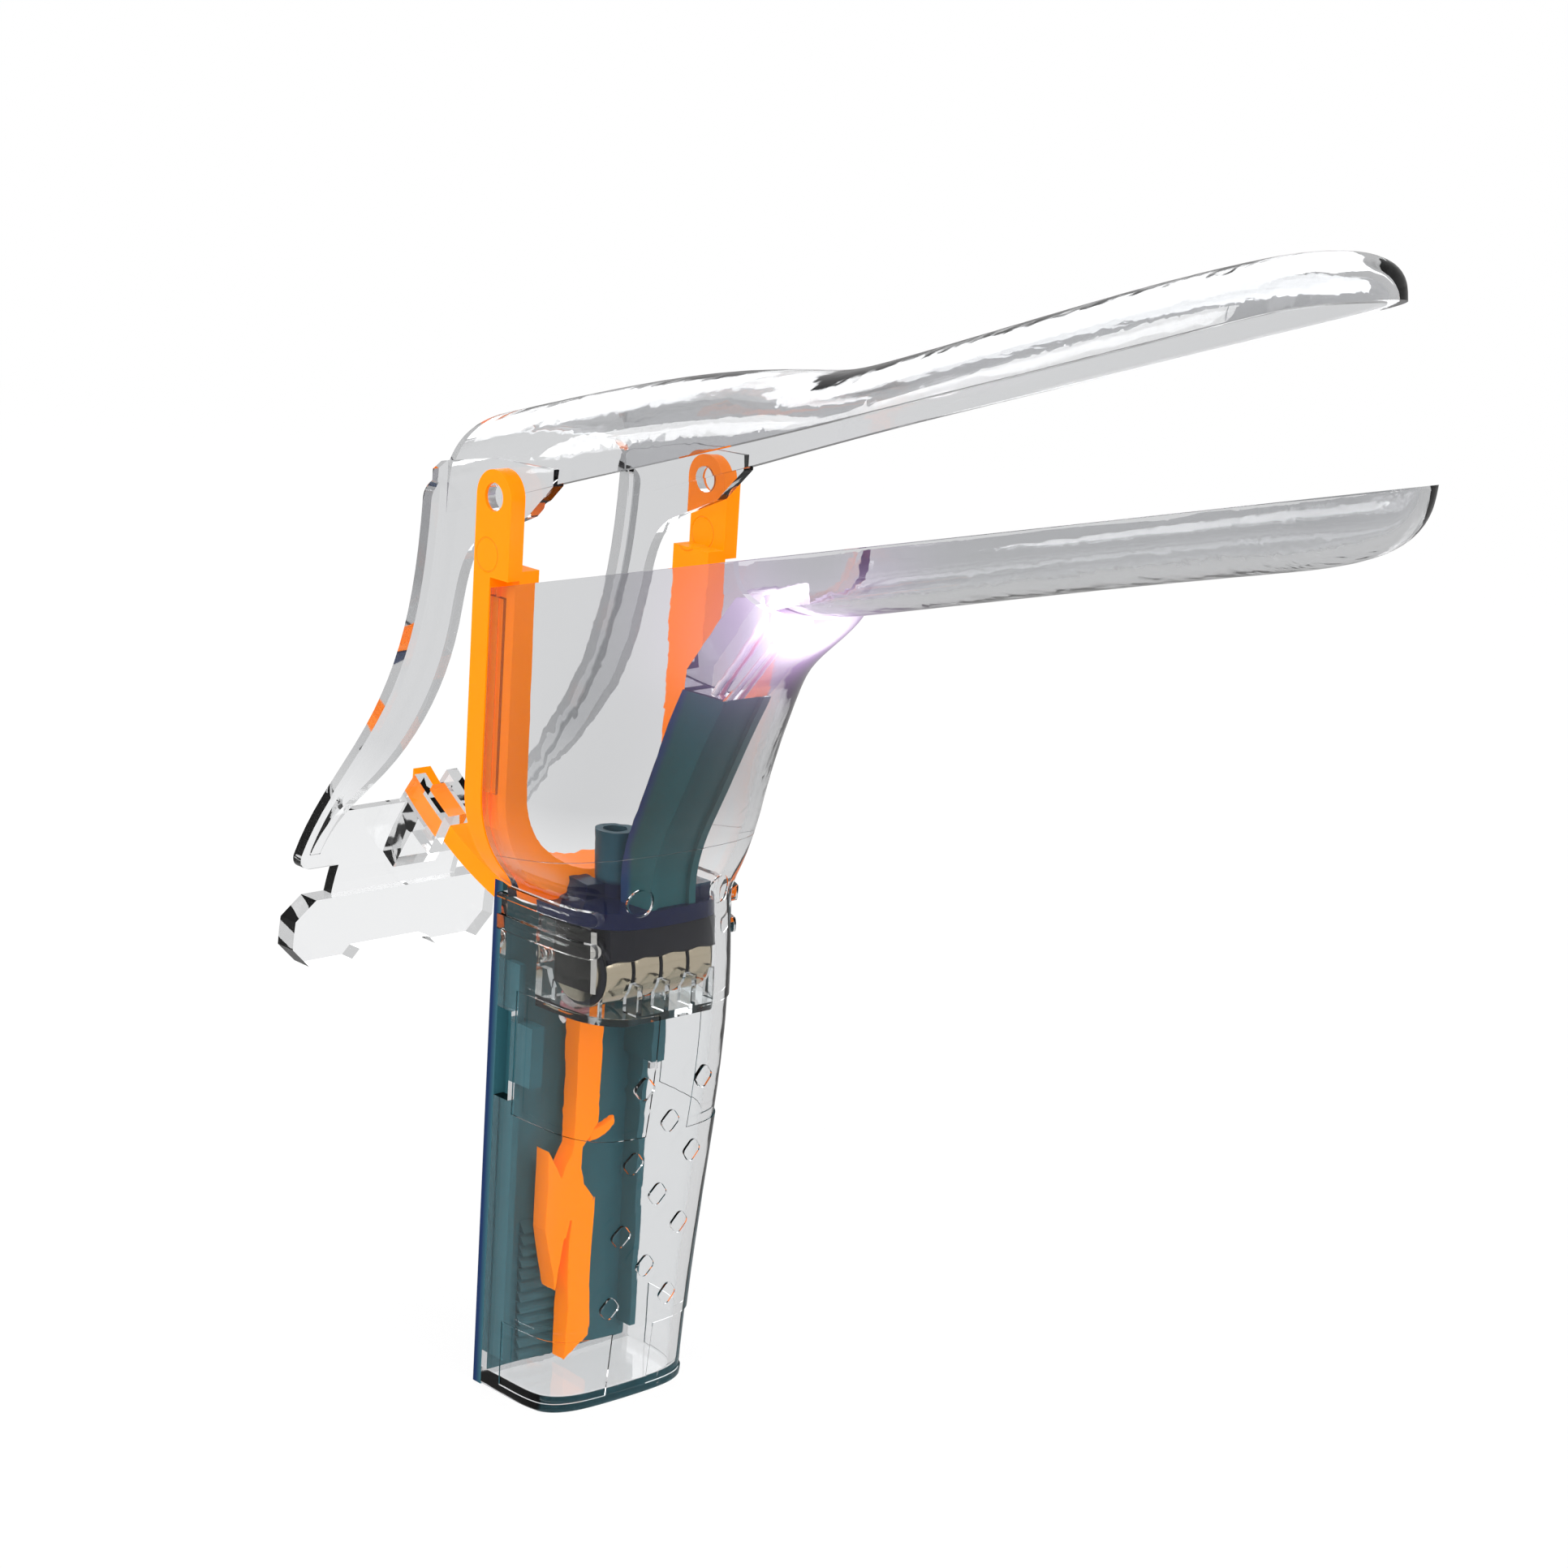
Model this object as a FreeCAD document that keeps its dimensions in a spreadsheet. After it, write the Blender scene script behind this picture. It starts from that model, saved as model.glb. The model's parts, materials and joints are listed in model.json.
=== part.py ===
import FreeCAD, Part
import os
import re
from math import atan, cos, degrees, pi, radians, sin, sqrt, tan

import Sketcher

# Bivalve speculum with a light in its handle: the base plane is z = 0, the blades
# point along +X and the pivot axis runs along Y, straight above the origin.

Vector = FreeCAD.Vector
doc = FreeCAD.newDocument("bivalve_speculum")

# Driving dimensions in millimetres and degrees

sheet = doc.addObject("Spreadsheet::Sheet", "Sizes")
sizes = {
    "pivot_height": 147.0,
    "yoke_width": 46.0,
    "yoke_depth": 8.4,
    "arm_thickness": 2.7,
    "rail_thickness": 6.0,
    "rail_drop": 10.9,
    "bend_radius": 20.0,
    "bend_drop": 46.0,
    "pin_radius": 2.15,
    "pin_clearance": 0.05,
    "slide_gap": 0.3,
    "wall": 2.0,
    "bead_size": 0.9,
    "rim_drop": 13.9,
    "lower_slope": 14.5,
    "lower_reach": 149.7,
    "lower_depth": 9.4,
    "blade_width": 26.8,
    "upper_slope": 18.3,
    "upper_reach": 142.0,
    "upper_depth": 8.4,
    "tip_length": 17.0,
    "hood_rear": 17.0,
    "hood_depth": 15.6,
    "hood_front": 50.0,
    "neck_reach": 53.0,
    "handle_width": 31.4,
    "handle_top_reach": 24.0,
    "handle_foot_reach": 15.0,
    "handle_drop": 17.0,
    "handle_height": "=pivot_height - bend_drop - handle_drop",
    "waist_reach": 22.3,
    "handle_rear": 2.8,
    "floor_thickness": 2.2,
    "foot_round": 3.0,
    "rib_height": 2.4,
    "rib_proud": 0.8,
    "rib_reach": 18.9,
    "grip_size": 4.4,
    "grip_proud": 0.45,
    "grip_pitch": 12.9,
    "grip_drop": 27.6,
    "grip_across": 6.0,
    "recess_depth": 0.25,
    "cover_thickness": 2.0,
    "seam_gap": 0.02,
    "lip_thickness": 1.2,
    "lip_depth": 3.4,
    "tooth_depth": 1.2,
    "tooth_pitch": 2.0,
    "tooth_count": 12.0,
    "rack_width": 7.4,
    "rack_start": 3.0,
    "snap_height": 10.0,
    "snap_level": "=handle_height - 3.16 * snap_height",
    "snap_depth": 7.0,
    "snap_width": 2.4,
    "stem_width": 4.6,
    "stem_depth": 3.1,
    "stem_foot": 2.9,
    "latch_width": 4.7,
    "latch_height": 37.0,
    "leg_height": 27.5,
    "pawl_height": 24.5,
    "pawl_tip": 12.8,
    "tongue_width": 3.6,
    "tongue_radius": 75.0,
    "tongue_thickness": 3.5,
    "tongue_angle": 39.5,
    "root_angle": 7.5,
    "ear_thickness": 2.0,
    "ear_reach": 10.2,
    "frame_web": 10.5,
    "frame_sheet": 2.2,
    "flange_proud": 1.5,
    "plate_top_drop": 60.2,
    "plate_foot_drop": 71.5,
    "lever_drop": 89.0,
    "lever_height": 12.0,
    "lever_width": 42.0,
    "lever_thickness": 4.4,
    "lever_neck_width": 26.0,
    "guide_length": 8.0,
    "guide_wall": 2.2,
    "cell_radius": 5.8,
    "cell_length": 5.4,
    "cell_count": 4.0,
    "deck_gap": 16.6,
    "deck_drop": "=bend_drop + deck_gap",
    "cell_gap": 10.4,
    "cell_drop": "=deck_drop + cell_gap",
    "cell_forward": 12.3,
    "contact_thickness": 0.4,
    "seat_gap": 0.3,
    "end_wall": 1.2,
    "spring_wire": 0.35,
    "spring_radius": 2.8,
    "deck_thickness": 2.6,
    "deck_rear": 4.6,
    "stub_radius": 3.1,
    "stub_seat": 0.5,
    "stub_height": 10.4,
    "rack_plate": 1.3,
    "fin_thickness": 1.0,
    "fin_height": 5.0,
    "duct_width": 9.0,
    "duct_gap": 0.8,
    "duct_clearance": 1.0,
    "duct_wall": 1.3,
    "led_radius": 1.6,
    "led_length": 4.4,
    "led_drop": 12.4,
    "led_forward": 39.5,
    "lead_radius": 0.55,
    "coil_radius": 1.0,
    "coil_wire": 0.35,
}
for row, (alias, value) in enumerate(sizes.items(), start=1):
    sheet.set(f"A{row}", alias)
    sheet.set(f"B{row}", str(value))
    sheet.setAlias(f"B{row}", alias)
doc.recompute()
aliasWords = re.compile(r"\b(" + "|".join(sorted(sizes, key=len, reverse=True)) + r")\b")


def tie(text):
    """The same formula with each alias read from the sheet."""
    return aliasWords.sub(r"Sizes.\1", text)


def size(text):
    """The number that a formula of the sheet's aliases has now."""
    return float(sheet.evalExpression(tie(text)))


# Sketch and body helpers


def newBody(name):
    body = doc.addObject("PartDesign::Body", name)
    body.Label = name
    return body


def newSketch(body, name, role, offset=None):
    """A sketch on one of the body's own planes, moved along the plane's normal."""
    sketch = body.newObject("Sketcher::SketchObject", name)
    plane = next(item for item in body.Origin.OriginFeatures if item.Role == role)
    sketch.AttachmentSupport = [(plane, "")]
    sketch.MapMode = "FlatFace"
    if offset:
        sketch.setExpression("AttachmentOffset.Base.z", tie(offset))
    doc.recompute()
    return sketch


def pin(sketch, kind, geometry, point, formula):
    """Holds one coordinate of a point to a formula of the sheet."""
    index = sketch.addConstraint(Sketcher.Constraint(kind, -1, 1, geometry, point, size(formula)))
    sketch.setExpression(f"Constraints[{index}]", tie(formula))


def drawOutline(sketch, corners):
    """A closed outline: each corner is (x, y) or (x, y, radius) where an arc leads to the next
    corner, and a negative radius bulges to the right of the way along."""
    spots = [Vector(size(corner[0]), size(corner[1]), 0) for corner in corners]
    first = sketch.GeometryCount
    for index, corner in enumerate(corners):
        start = spots[index]
        end = spots[(index + 1) % len(spots)]
        if len(corner) == 2:
            sketch.addGeometry(Part.LineSegment(start, end))
            continue
        radius = size(corner[2])
        chord = end - start
        lift = sqrt(max(radius * radius - chord.Length * chord.Length / 4, 0))
        left = Vector(-chord.y, chord.x, 0).normalize()
        side = 1 if radius > 0 else -1
        centre = (start + end) * 0.5 + left * (lift * side)
        middle = centre - left * (abs(radius) * side)
        sketch.addGeometry(Part.Arc(start, middle, end))
    total = len(corners)
    for index, corner in enumerate(corners):
        here = first + index
        following = first + (index + 1) % total
        ends = joinEnds(sketch, here, following, spots[(index + 1) % total])
        sketch.addConstraint(Sketcher.Constraint("Coincident", here, ends[0], following, ends[1]))
    for index, corner in enumerate(corners):
        here = first + index
        start = nearEnd(sketch, here, spots[index])
        pin(sketch, "DistanceX", here, start, corner[0])
        pin(sketch, "DistanceY", here, start, corner[1])
        if len(corner) == 3:
            index = sketch.addConstraint(Sketcher.Constraint("Radius", here, abs(size(corner[2]))))
            sketch.setExpression(f"Constraints[{index}]", tie(f"abs({corner[2]})"))


def nearEnd(sketch, geometry, spot):
    """Which end of a sketch element lies at a spot: 1 or 2."""
    return min((1, 2), key=lambda point: (sketch.getPoint(geometry, point) - spot).Length)


def joinEnds(sketch, here, following, spot):
    return nearEnd(sketch, here, spot), nearEnd(sketch, following, spot)


def drawCircle(sketch, across, up, radius):
    index = sketch.addGeometry(Part.Circle(Vector(size(across), size(up), 0), Vector(0, 0, 1), size(radius)))
    pin(sketch, "DistanceX", index, 3, across)
    pin(sketch, "DistanceY", index, 3, up)
    held = sketch.addConstraint(Sketcher.Constraint("Radius", index, size(radius)))
    sketch.setExpression(f"Constraints[{held}]", tie(radius))


def padSketch(body, sketch, name, length, middle=False, reverse=False):
    pad = body.newObject("PartDesign::Pad", name)
    pad.Profile = sketch
    pad.setExpression("Length", tie(length))
    pad.Midplane = middle
    pad.Reversed = reverse
    doc.recompute()
    return pad


def pocketSketch(body, sketch, name, length, middle=False, reverse=False):
    """A pocket that has to take something away."""
    before = body.Shape.Volume
    pocket = body.newObject("PartDesign::Pocket", name)
    pocket.Profile = sketch
    pocket.setExpression("Length", tie(length))
    pocket.Midplane = middle
    pocket.Reversed = reverse
    doc.recompute()
    if body.Shape.Volume > before - 1e-6:
        raise RuntimeError(f"{name} cuts nothing")
    return pocket


def feature(name, shape):
    """A sub-part whose shape is worked out from the sheet's sizes."""
    item = doc.addObject("Part::Feature", name)
    item.Label = name
    item.Shape = shape
    return item


# Solid helpers


def block(x0, y0, z0, x1, y1, z1):
    return Part.makeBox(x1 - x0, y1 - y0, z1 - z0, Vector(x0, y0, z0))


def sideSlab(points, y0, y1):
    """A slab whose outline, seen from the side, is a list of (x, z) corners and splines of them."""
    edges = []
    last = None
    for item in points:
        run = item if isinstance(item, list) else [item]
        spots = [Vector(x, y0, z) for x, z in run]
        if last is not None and (spots[0] - last).Length > 1e-7:
            edges.append(Part.LineSegment(last, spots[0]).toShape())
        if len(spots) > 1:
            curve = Part.BSplineCurve()
            curve.interpolate(spots)
            edges.append(curve.toShape())
        last = spots[-1]
    x, z = points[0][0] if isinstance(points[0], list) else points[0]
    edges.append(Part.LineSegment(last, Vector(x, y0, z)).toShape())
    face = Part.Face(Part.Wire(Part.__sortEdges__(edges)))
    return face.extrude(Vector(0, y1 - y0, 0))


def frontSlab(corners, x0, x1, rounding=0.0):
    """A slab whose outline, seen from the front, is a list of (y, z) corners."""
    spots = [Vector(x0, y, z) for y, z in corners]
    slab = Part.Face(Part.makePolygon(spots + spots[:1])).extrude(Vector(x1 - x0, 0, 0))
    if not rounding:
        return slab
    along = [edge for edge in slab.Edges if abs(edge.tangentAt(edge.FirstParameter).x) > 0.99]
    return slab.makeFillet(rounding, along)


def superHalf(halfAcross, reach, power, count=12):
    """Half a rounded oblong: (across, forward) pairs from one side to the other."""
    pairs = []
    for index in range(count + 1):
        angle = -pi / 2 + pi * index / count
        across = abs(sin(angle)) ** (2 / power) * halfAcross
        forward = abs(cos(angle)) ** (2 / power) * reach
        pairs.append((across if angle > 0 else -across, forward if 0 < index < count else 0.0))
    return pairs


def smoothStep(value, start, end):
    """0 before start, 1 after end and an even turn between."""
    share = min(max((value - start) / (end - start), 0.0), 1.0)
    return share * share * (3 - 2 * share)


def lineThrough(knots):
    """Straight runs through (place, value) knots, read at any place."""
    def at(place):
        if place <= knots[0][0]:
            return knots[0][1]
        for (low, first), (high, second) in zip(knots, knots[1:]):
            if place <= high:
                return first + (second - first) * (place - low) / (high - low)
        return knots[-1][1]

    return at


def netSolid(rows):
    """A solid skinned smoothly over rows of control points, each row one open flat outline."""
    along, across = len(rows), len(rows[0])
    skin = Part.BSplineSurface()
    skin.buildFromPolesMultsKnots(
        rows, [4] + [1] * (along - 4) + [4], [4] + [1] * (across - 4) + [4],
        list(range(along - 2)), list(range(across - 2)), False, False, 3, 3)
    edges = [skin.vIso(0), skin.vIso(across - 3)]
    faces = [skin.toShape(), Part.makeRuledSurface(edges[0].toShape(), edges[1].toShape())]
    for end in (0, along - 3):
        outline = skin.uIso(end)
        closing = Part.LineSegment(outline.EndPoint, outline.StartPoint)
        faces.append(Part.Face(Part.Wire([outline.toShape(), closing.toShape()])))
    shell = Part.makeShell(faces)
    shell.sewShape()
    solid = Part.makeSolid(shell)
    if solid.Volume < 0:
        solid.reverse()
    return solid


def routeWire(points):
    """Straight runs through the points with an arc as large as its runs allow at each turn."""
    edges = []
    last = points[0]
    for before, corner, after in zip(points, points[1:], points[2:]):
        back = (before - corner).normalize()
        ahead = (after - corner).normalize()
        run = min((before - corner).Length, (after - corner).Length)
        start = corner + back * (run * 0.45)
        end = corner + ahead * (run * 0.45)
        halfTurn = (pi - back.getAngle(ahead)) / 2
        radius = run * 0.45 / tan(halfTurn)
        bisector = (back + ahead).normalize()
        centre = corner + bisector * (radius / cos(halfTurn))
        middle = centre - bisector * radius
        edges.append(Part.LineSegment(last, start).toShape())
        edges.append(Part.Arc(start, middle, end).toShape())
        last = end
    edges.append(Part.LineSegment(last, points[-1]).toShape())
    return Part.Wire(edges)


def tube(points, radius):
    path = routeWire(points)
    ring = Part.Wire(Part.makeCircle(radius, points[0], points[1] - points[0]))
    return path.makePipeShell([ring], True, True)


def radiusBand(inner, outer, startAngle, endAngle, halfAcross):
    """A band round the pivot axis: angles run from straight down towards the rear."""
    def spot(radius, angle):
        return Vector(-radius * sin(radians(angle)), -halfAcross, pivotZ - radius * cos(radians(angle)))

    middle = (startAngle + endAngle) / 2
    outerArc = Part.Arc(spot(outer, startAngle), spot(outer, middle), spot(outer, endAngle)).toShape()
    innerArc = Part.Arc(spot(inner, endAngle), spot(inner, middle), spot(inner, startAngle)).toShape()
    ends = [
        Part.LineSegment(spot(outer, endAngle), spot(inner, endAngle)).toShape(),
        Part.LineSegment(spot(inner, startAngle), spot(outer, startAngle)).toShape(),
    ]
    face = Part.Face(Part.Wire([outerArc, ends[0], innerArc, ends[1]]))
    return face.extrude(Vector(0, 2 * halfAcross, 0))


# Places that several pieces share

pivotZ = size("pivot_height")
halfYoke = size("yoke_width / 2")
bendZ = size("pivot_height - bend_drop")
bendRadius = size("bend_radius")
bendAcross = halfYoke - bendRadius
wall = size("wall")
slideGap = size("slide_gap")
handleHalf = size("handle_width / 2")
handleHeight = size("handle_height")
handleRear = -size("handle_rear")
earFace = halfYoke - size("arm_thickness") - slideGap
rimSlope = tan(radians(size("lower_slope")))
upperSlope = tan(radians(size("upper_slope")))
bladeHalf = size("blade_width / 2")


def rimZ(x):
    return pivotZ - size("rim_drop") + rimSlope * x


def upperRimZ(x):
    return pivotZ + upperSlope * x


# The clear body: lower blade, neck and handle shell in one moulding

neckReach = size("neck_reach")
topReach = size("handle_top_reach")
footReach = size("handle_foot_reach")
waistReach = size("waist_reach")
waistZ = size("handle_height + 3")
frontLine = lineThrough([
    (0, footReach),
    (handleHeight * 0.16, footReach + 0.12 * (topReach - footReach)),
    (handleHeight * 0.68, footReach + 0.9 * (topReach - footReach)),
    (handleHeight * 0.86, topReach),
    (waistZ - 1, waistReach - 0.3),
    (waistZ + 6, waistReach + 0.6),
    (waistZ + 0.35 * (pivotZ - waistZ), waistReach + 0.24 * (neckReach - waistReach)),
    (waistZ + 0.62 * (pivotZ - waistZ), waistReach + 0.52 * (neckReach - waistReach)),
    (waistZ + 0.80 * (pivotZ - waistZ), neckReach),
    (pivotZ + 6, neckReach + 3),
])


def sideHalf(z, inset):
    """Half the width of the clear body at a height, inset by a wall."""
    if z >= bendZ:
        return halfYoke - inset
    drop = bendZ - z
    radius = bendRadius - inset
    narrow = handleHalf - inset
    if drop >= radius:
        return narrow
    return max(bendAcross + sqrt(radius * radius - drop * drop), narrow)


def levelOutline(z, inset, rear, extra=0.0):
    """The control points of one level outline of the handle and neck."""
    handleShare = 1 - smoothStep(z, waistZ - 6, bendZ)
    power = 2.1 + 1.3 * handleShare
    flank = 9.0 - 3.0 * handleShare
    half = sideHalf(z, inset) - extra
    reach = frontLine(z) - inset - extra - flank
    side = [rear + (flank - rear) * share for share in (0, 0.35, 0.7)]
    return ([Vector(x, -half, z) for x in side]
            + [Vector(flank + forward, across, z) for across, forward in superHalf(half, reach, power)]
            + [Vector(x, half, z) for x in reversed(side)])


def bodySolid(inset, rear, bottom, top, rounding):
    """The handle and neck as one solid, inset by a wall, with a rounded foot."""
    share = (0, 0.3, 0.7, 1)
    levels = [bottom + rounding + (waistZ - 4 - bottom - rounding) * step / 6 for step in range(7)]
    levels += [waistZ - 4 + (bendZ - waistZ + 4) * step / 6 for step in range(1, 7)]
    levels += [bendZ + (top - bendZ) * step / 9 for step in range(1, 10)]
    rows = [levelOutline(bottom, inset, rear, rounding * (1 - part)) for part in share]
    rows += [levelOutline(bottom + rounding * part, inset, rear) for part in share[1:3]]
    rows += [levelOutline(z, inset, rear) for z in levels]
    return netSolid(rows)


def bladeRows(places, half, depth, rim, lift, inset, reach, power, over=0.0):
    """Control points of a blade's outlines: lift is 1 for a blade that arches up, -1 for one
    that sags, and over carries the hollow past the rim."""
    rows = []
    for x, narrow in places:
        pairs = superHalf((half(x) - inset) * narrow, (depth(x) - inset) * narrow, power(x))
        row = [Vector(x, side, rim(x) + lift * up) for side, up in pairs]
        if over:
            row = [row[0] - Vector(0, 0, lift * over)] + row + [row[-1] - Vector(0, 0, lift * over)]
        rows.append(row)
    return rows


def bladePlaces(start, knots, reach):
    """Places along a blade, with how narrow the outline is there: the tip rounds off."""
    places = [(start + (reach - tipLength - start) * step / knots, 1.0) for step in range(knots + 1)]
    tip = ((0.35, 1.0), (0.68, 0.96), (0.9, 0.8), (1.0, 0.5), (1.0, 0.03))
    return places + [(reach - tipLength + tipLength * share, narrow) for share, narrow in tip]


lowerReach = size("lower_reach")
tipLength = size("tip_length")


def lowerHalf(x):
    root = 1 - smoothStep(x, lowerReach * 0.2, lowerReach * 0.53)
    return bladeHalf * (1 + 0.104 * root + 0.037 * smoothStep(x, lowerReach * 0.53, lowerReach * 0.87))


def lowerDepth(x):
    return size("lower_depth") * (1.1 - 0.1 * smoothStep(x, lowerReach * 0.27, lowerReach * 0.8))


def lowerPower(x):
    return 2.5


def makeLowerBody():
    top = pivotZ + 6
    outer = bodySolid(0, handleRear, 0, top, size("foot_round"))
    inner = bodySolid(wall, handleRear - 5, size("floor_thickness"), top + 1, 1.5)
    rootX = neckReach * 0.6
    bladeOuter = netSolid(bladeRows(
        bladePlaces(rootX, 6, lowerReach), lowerHalf, lowerDepth, rimZ, -1, 0, lowerReach, lowerPower))
    bladeInner = netSolid(bladeRows(
        bladePlaces(rootX - 6, 6, lowerReach - wall), lowerHalf, lowerDepth, rimZ, -1, wall,
        lowerReach - wall, lowerPower, over=2.0))
    over = sideSlab([(-20, rimZ(-20)), (lowerReach + 5, rimZ(lowerReach + 5)), (lowerReach + 5, pivotZ + 80),
                     (-20, pivotZ + 80)], -halfYoke - 5, halfYoke + 5)
    neckRear = block(-20, -halfYoke - 1, handleTopZ(), slideGap / 2, halfYoke + 1, pivotZ + 10)
    solid = outer.cut(gripRecesses()).fuse([bladeOuter] + handleRibs() + gripMarks())
    return solid.cut([inner, bladeInner, over, neckRear]).fuse(edgeBeads())


def handleTopZ():
    """Where the handle's rear edge stops, just under the yoke's bend."""
    drop = sqrt(bendRadius ** 2 - (handleHalf - wall - bendAcross) ** 2)
    return bendZ - drop - slideGap * 2


def edgeBeads():
    """A bead down the inside of each neck wall's rear edge, which the yoke's groove takes."""
    bead = size("bead_size")
    beads = []
    for side in (-1, 1):
        inside = side * (halfYoke - wall)
        outside = side * (halfYoke - wall / 2)
        tip = inside - side * bead
        low, high = min(tip, outside), max(tip, outside)
        beads.append(block(slideGap / 2, low, bendZ, slideGap / 2 + 2 * bead, high, rimZ(0) - 1.5))
    return beads


def swollen(proud):
    """The handle and neck with their faces moved out, or in for a negative number."""
    return bodySolid(-proud, handleRear, 0, pivotZ, size("foot_round"))


def handleRibs():
    """Two ribs round each side of the handle's top, from the cover to the front corners."""
    high = size("rib_height")
    reach = size("rib_reach")
    bars = []
    for side in (-1, 1):
        for level in (handleHeight - 1.2, handleHeight - 6.4):
            low, far = sorted((side * 7, side * (handleHalf + 5)))
            bar = block(handleRear, low, level, reach, far, level + high)
            ends = [edge for edge in bar.Edges if edge.CenterOfMass.x > reach - 0.1
                    and abs(edge.Vertexes[0].Y - edge.Vertexes[-1].Y) > 1]
            bars.append(bar.makeFillet(high * 0.45, ends))
    return [bar.common(swollen(size("rib_proud"))) for bar in bars]


def gripMarks():
    """The raised rounded lozenges of the grip: four in each outer row and three in the middle."""
    half = size("grip_size / 2")
    pitch = size("grip_pitch")
    top = handleHeight - size("grip_drop")
    across = size("grip_across")
    spots = [(side * across, top - row * pitch) for side in (-1, 1) for row in range(4)]
    spots += [(0, top - (row + 0.5) * pitch) for row in range(3)]
    skin = swollen(size("grip_proud"))
    marks = []
    for y, z in spots:
        outline = [(y - half * 0.92, z), (y, z - half * 1.1), (y + half * 0.92, z), (y, z + half * 1.1)]
        marks.append(frontSlab(outline, handleHalf * 0.5, topReach + 5, 0.9).common(skin))
    return marks


def gripRecesses():
    """Two shallow recesses down each side of the handle, its snap windows and its ring marks."""
    floor = swollen(-size("recess_depth"))
    cuts = []
    for side in (-1, 1):
        low, high = sorted((side * 4.2, side * (handleHalf + 3)))
        for foot, top in ((0.569, 0.814), (0.019, 0.15)):
            panel = block(handleRear + 4.6, low, handleHeight * foot, topReach + 3, high, handleHeight * top)
            cuts.append(panel.cut(floor))
        spot = Vector(handleHalf * 0.5, side * 8, waistZ - 0.4)
        ring = Part.makeCylinder(2.3, 20, spot, Vector(1, 0, 0))
        ring = ring.cut(Part.makeCylinder(2.05, 20, spot, Vector(1, 0, 0)))
        cuts.append(ring.cut(floor))
        cuts.append(block(handleRear - 1, low, size("snap_level") - 2.6, handleRear + 3.6, high,
                          size("snap_level + snap_height") + 2.2))
    return cuts


lowerBody = feature("clear_body", makeLowerBody())

# The clear upper blade: hood, ears with pivot pins, and the lever frame in one moulding

upperReach = size("upper_reach")
hoodRear = -size("hood_rear")
hoodFront = size("hood_front")
earInner = earFace - size("ear_thickness")
plateTopZ = size("pivot_height - plate_top_drop")
plateFootZ = size("pivot_height - plate_foot_drop")
leverFootZ = size("pivot_height - lever_drop")
leverTopZ = leverFootZ + size("lever_height")
flangeFace = earFace + size("flange_proud")

hoodDepth = size("hood_depth")
upperDeep = size("upper_depth")

upperHalf = lineThrough([
    (hoodRear, earFace), (hoodFront * 0.14, earFace), (hoodFront * 0.42, earFace * 0.87),
    (hoodFront * 0.7, bladeHalf * 1.13), (hoodFront, bladeHalf), (upperReach * 0.72, bladeHalf * 0.985),
    (upperReach, bladeHalf * 1.03)])
upperDepth = lineThrough([
    (hoodRear, hoodDepth), (hoodFront * 0.08, hoodDepth * 0.955), (hoodFront * 0.45, hoodDepth * 0.88),
    (hoodFront * 0.75, upperDeep * 1.4), (hoodFront, upperDeep * 0.95), (hoodFront * 1.24, upperDeep * 0.93),
    (upperReach * 0.775, upperDeep * 1.07), (upperReach * 0.9, upperDeep * 1.02),
    (upperReach, upperDeep * 0.88)])
upperPower = lineThrough([(hoodRear, 2.9), (hoodFront, 2.4)])

# The lever frame's rear line as shares of its drop (back, below the pivot), hood to lever foot
leverDrop = size("lever_drop")
frameLine = [(-leverDrop * back, leverDrop * below) for back, below in (
    (0.218, -0.011), (0.225, 0.101), (0.263, 0.287), (0.351, 0.461), (0.483, 0.631), (0.565, 0.753),
    (0.613, 0.876), (0.625, 1.011))]


def framePoints(forward, last):
    """The frame's line carried forward, in the side view, down to one of its points."""
    return [(x + forward, pivotZ - below) for x, below in frameLine[:last]]


def makeUpperBlade():
    outer = netSolid(bladeRows(bladePlaces(hoodRear, 12, upperReach), upperHalf, upperDepth, upperRimZ, 1,
                               0, upperReach, upperPower))
    inner = netSolid(bladeRows(bladePlaces(hoodRear - 6, 12, upperReach - wall), upperHalf, upperDepth,
                               upperRimZ, 1, wall, upperReach - wall, upperPower, over=2.0))
    blade = outer.cut(inner)
    guide, way = frameGuide()
    pieces = [piece.cut(way) for piece in frameSheet()] + [guide]
    for side in (-1, 1):
        pieces += [earWeb(side), pivotPin(side)]
    return blade.fuse(pieces)


def earWeb(side):
    """The ear round the pivot and the web that runs down the frame behind it."""
    low, high = sorted((side * earInner, side * earFace))
    shares = ((0.17, 0.074), (0.226, 0.115), (0.271, 0.253), (0.349, 0.427), (0.471, 0.569), (0.59, 0.675),
              (0.664, 0.77))
    web = size("frame_web")
    under = [(web - leverDrop * back, pivotZ - leverDrop * below) for back, below in shares]
    nose = size("ear_reach")
    return sideSlab([(nose, pivotZ + nose * 0.55), (nose, pivotZ + nose * 0.3),
                     (nose * 0.43, pivotZ - nose * 0.25), under, list(reversed(framePoints(0.1, 6))),
                     (hoodRear * 1.012, pivotZ + nose * 0.25), (-nose * 0.4, pivotZ + nose * 0.5)],
                    low, high)


def pivotPin(side):
    """A stub pin on the ear, short of the yoke's outer face."""
    length = halfYoke - earInner - 0.5
    root = Vector(0, side * earInner, pivotZ)
    return Part.makeCylinder(size("pin_radius"), length, root, Vector(0, side, 0))


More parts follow.
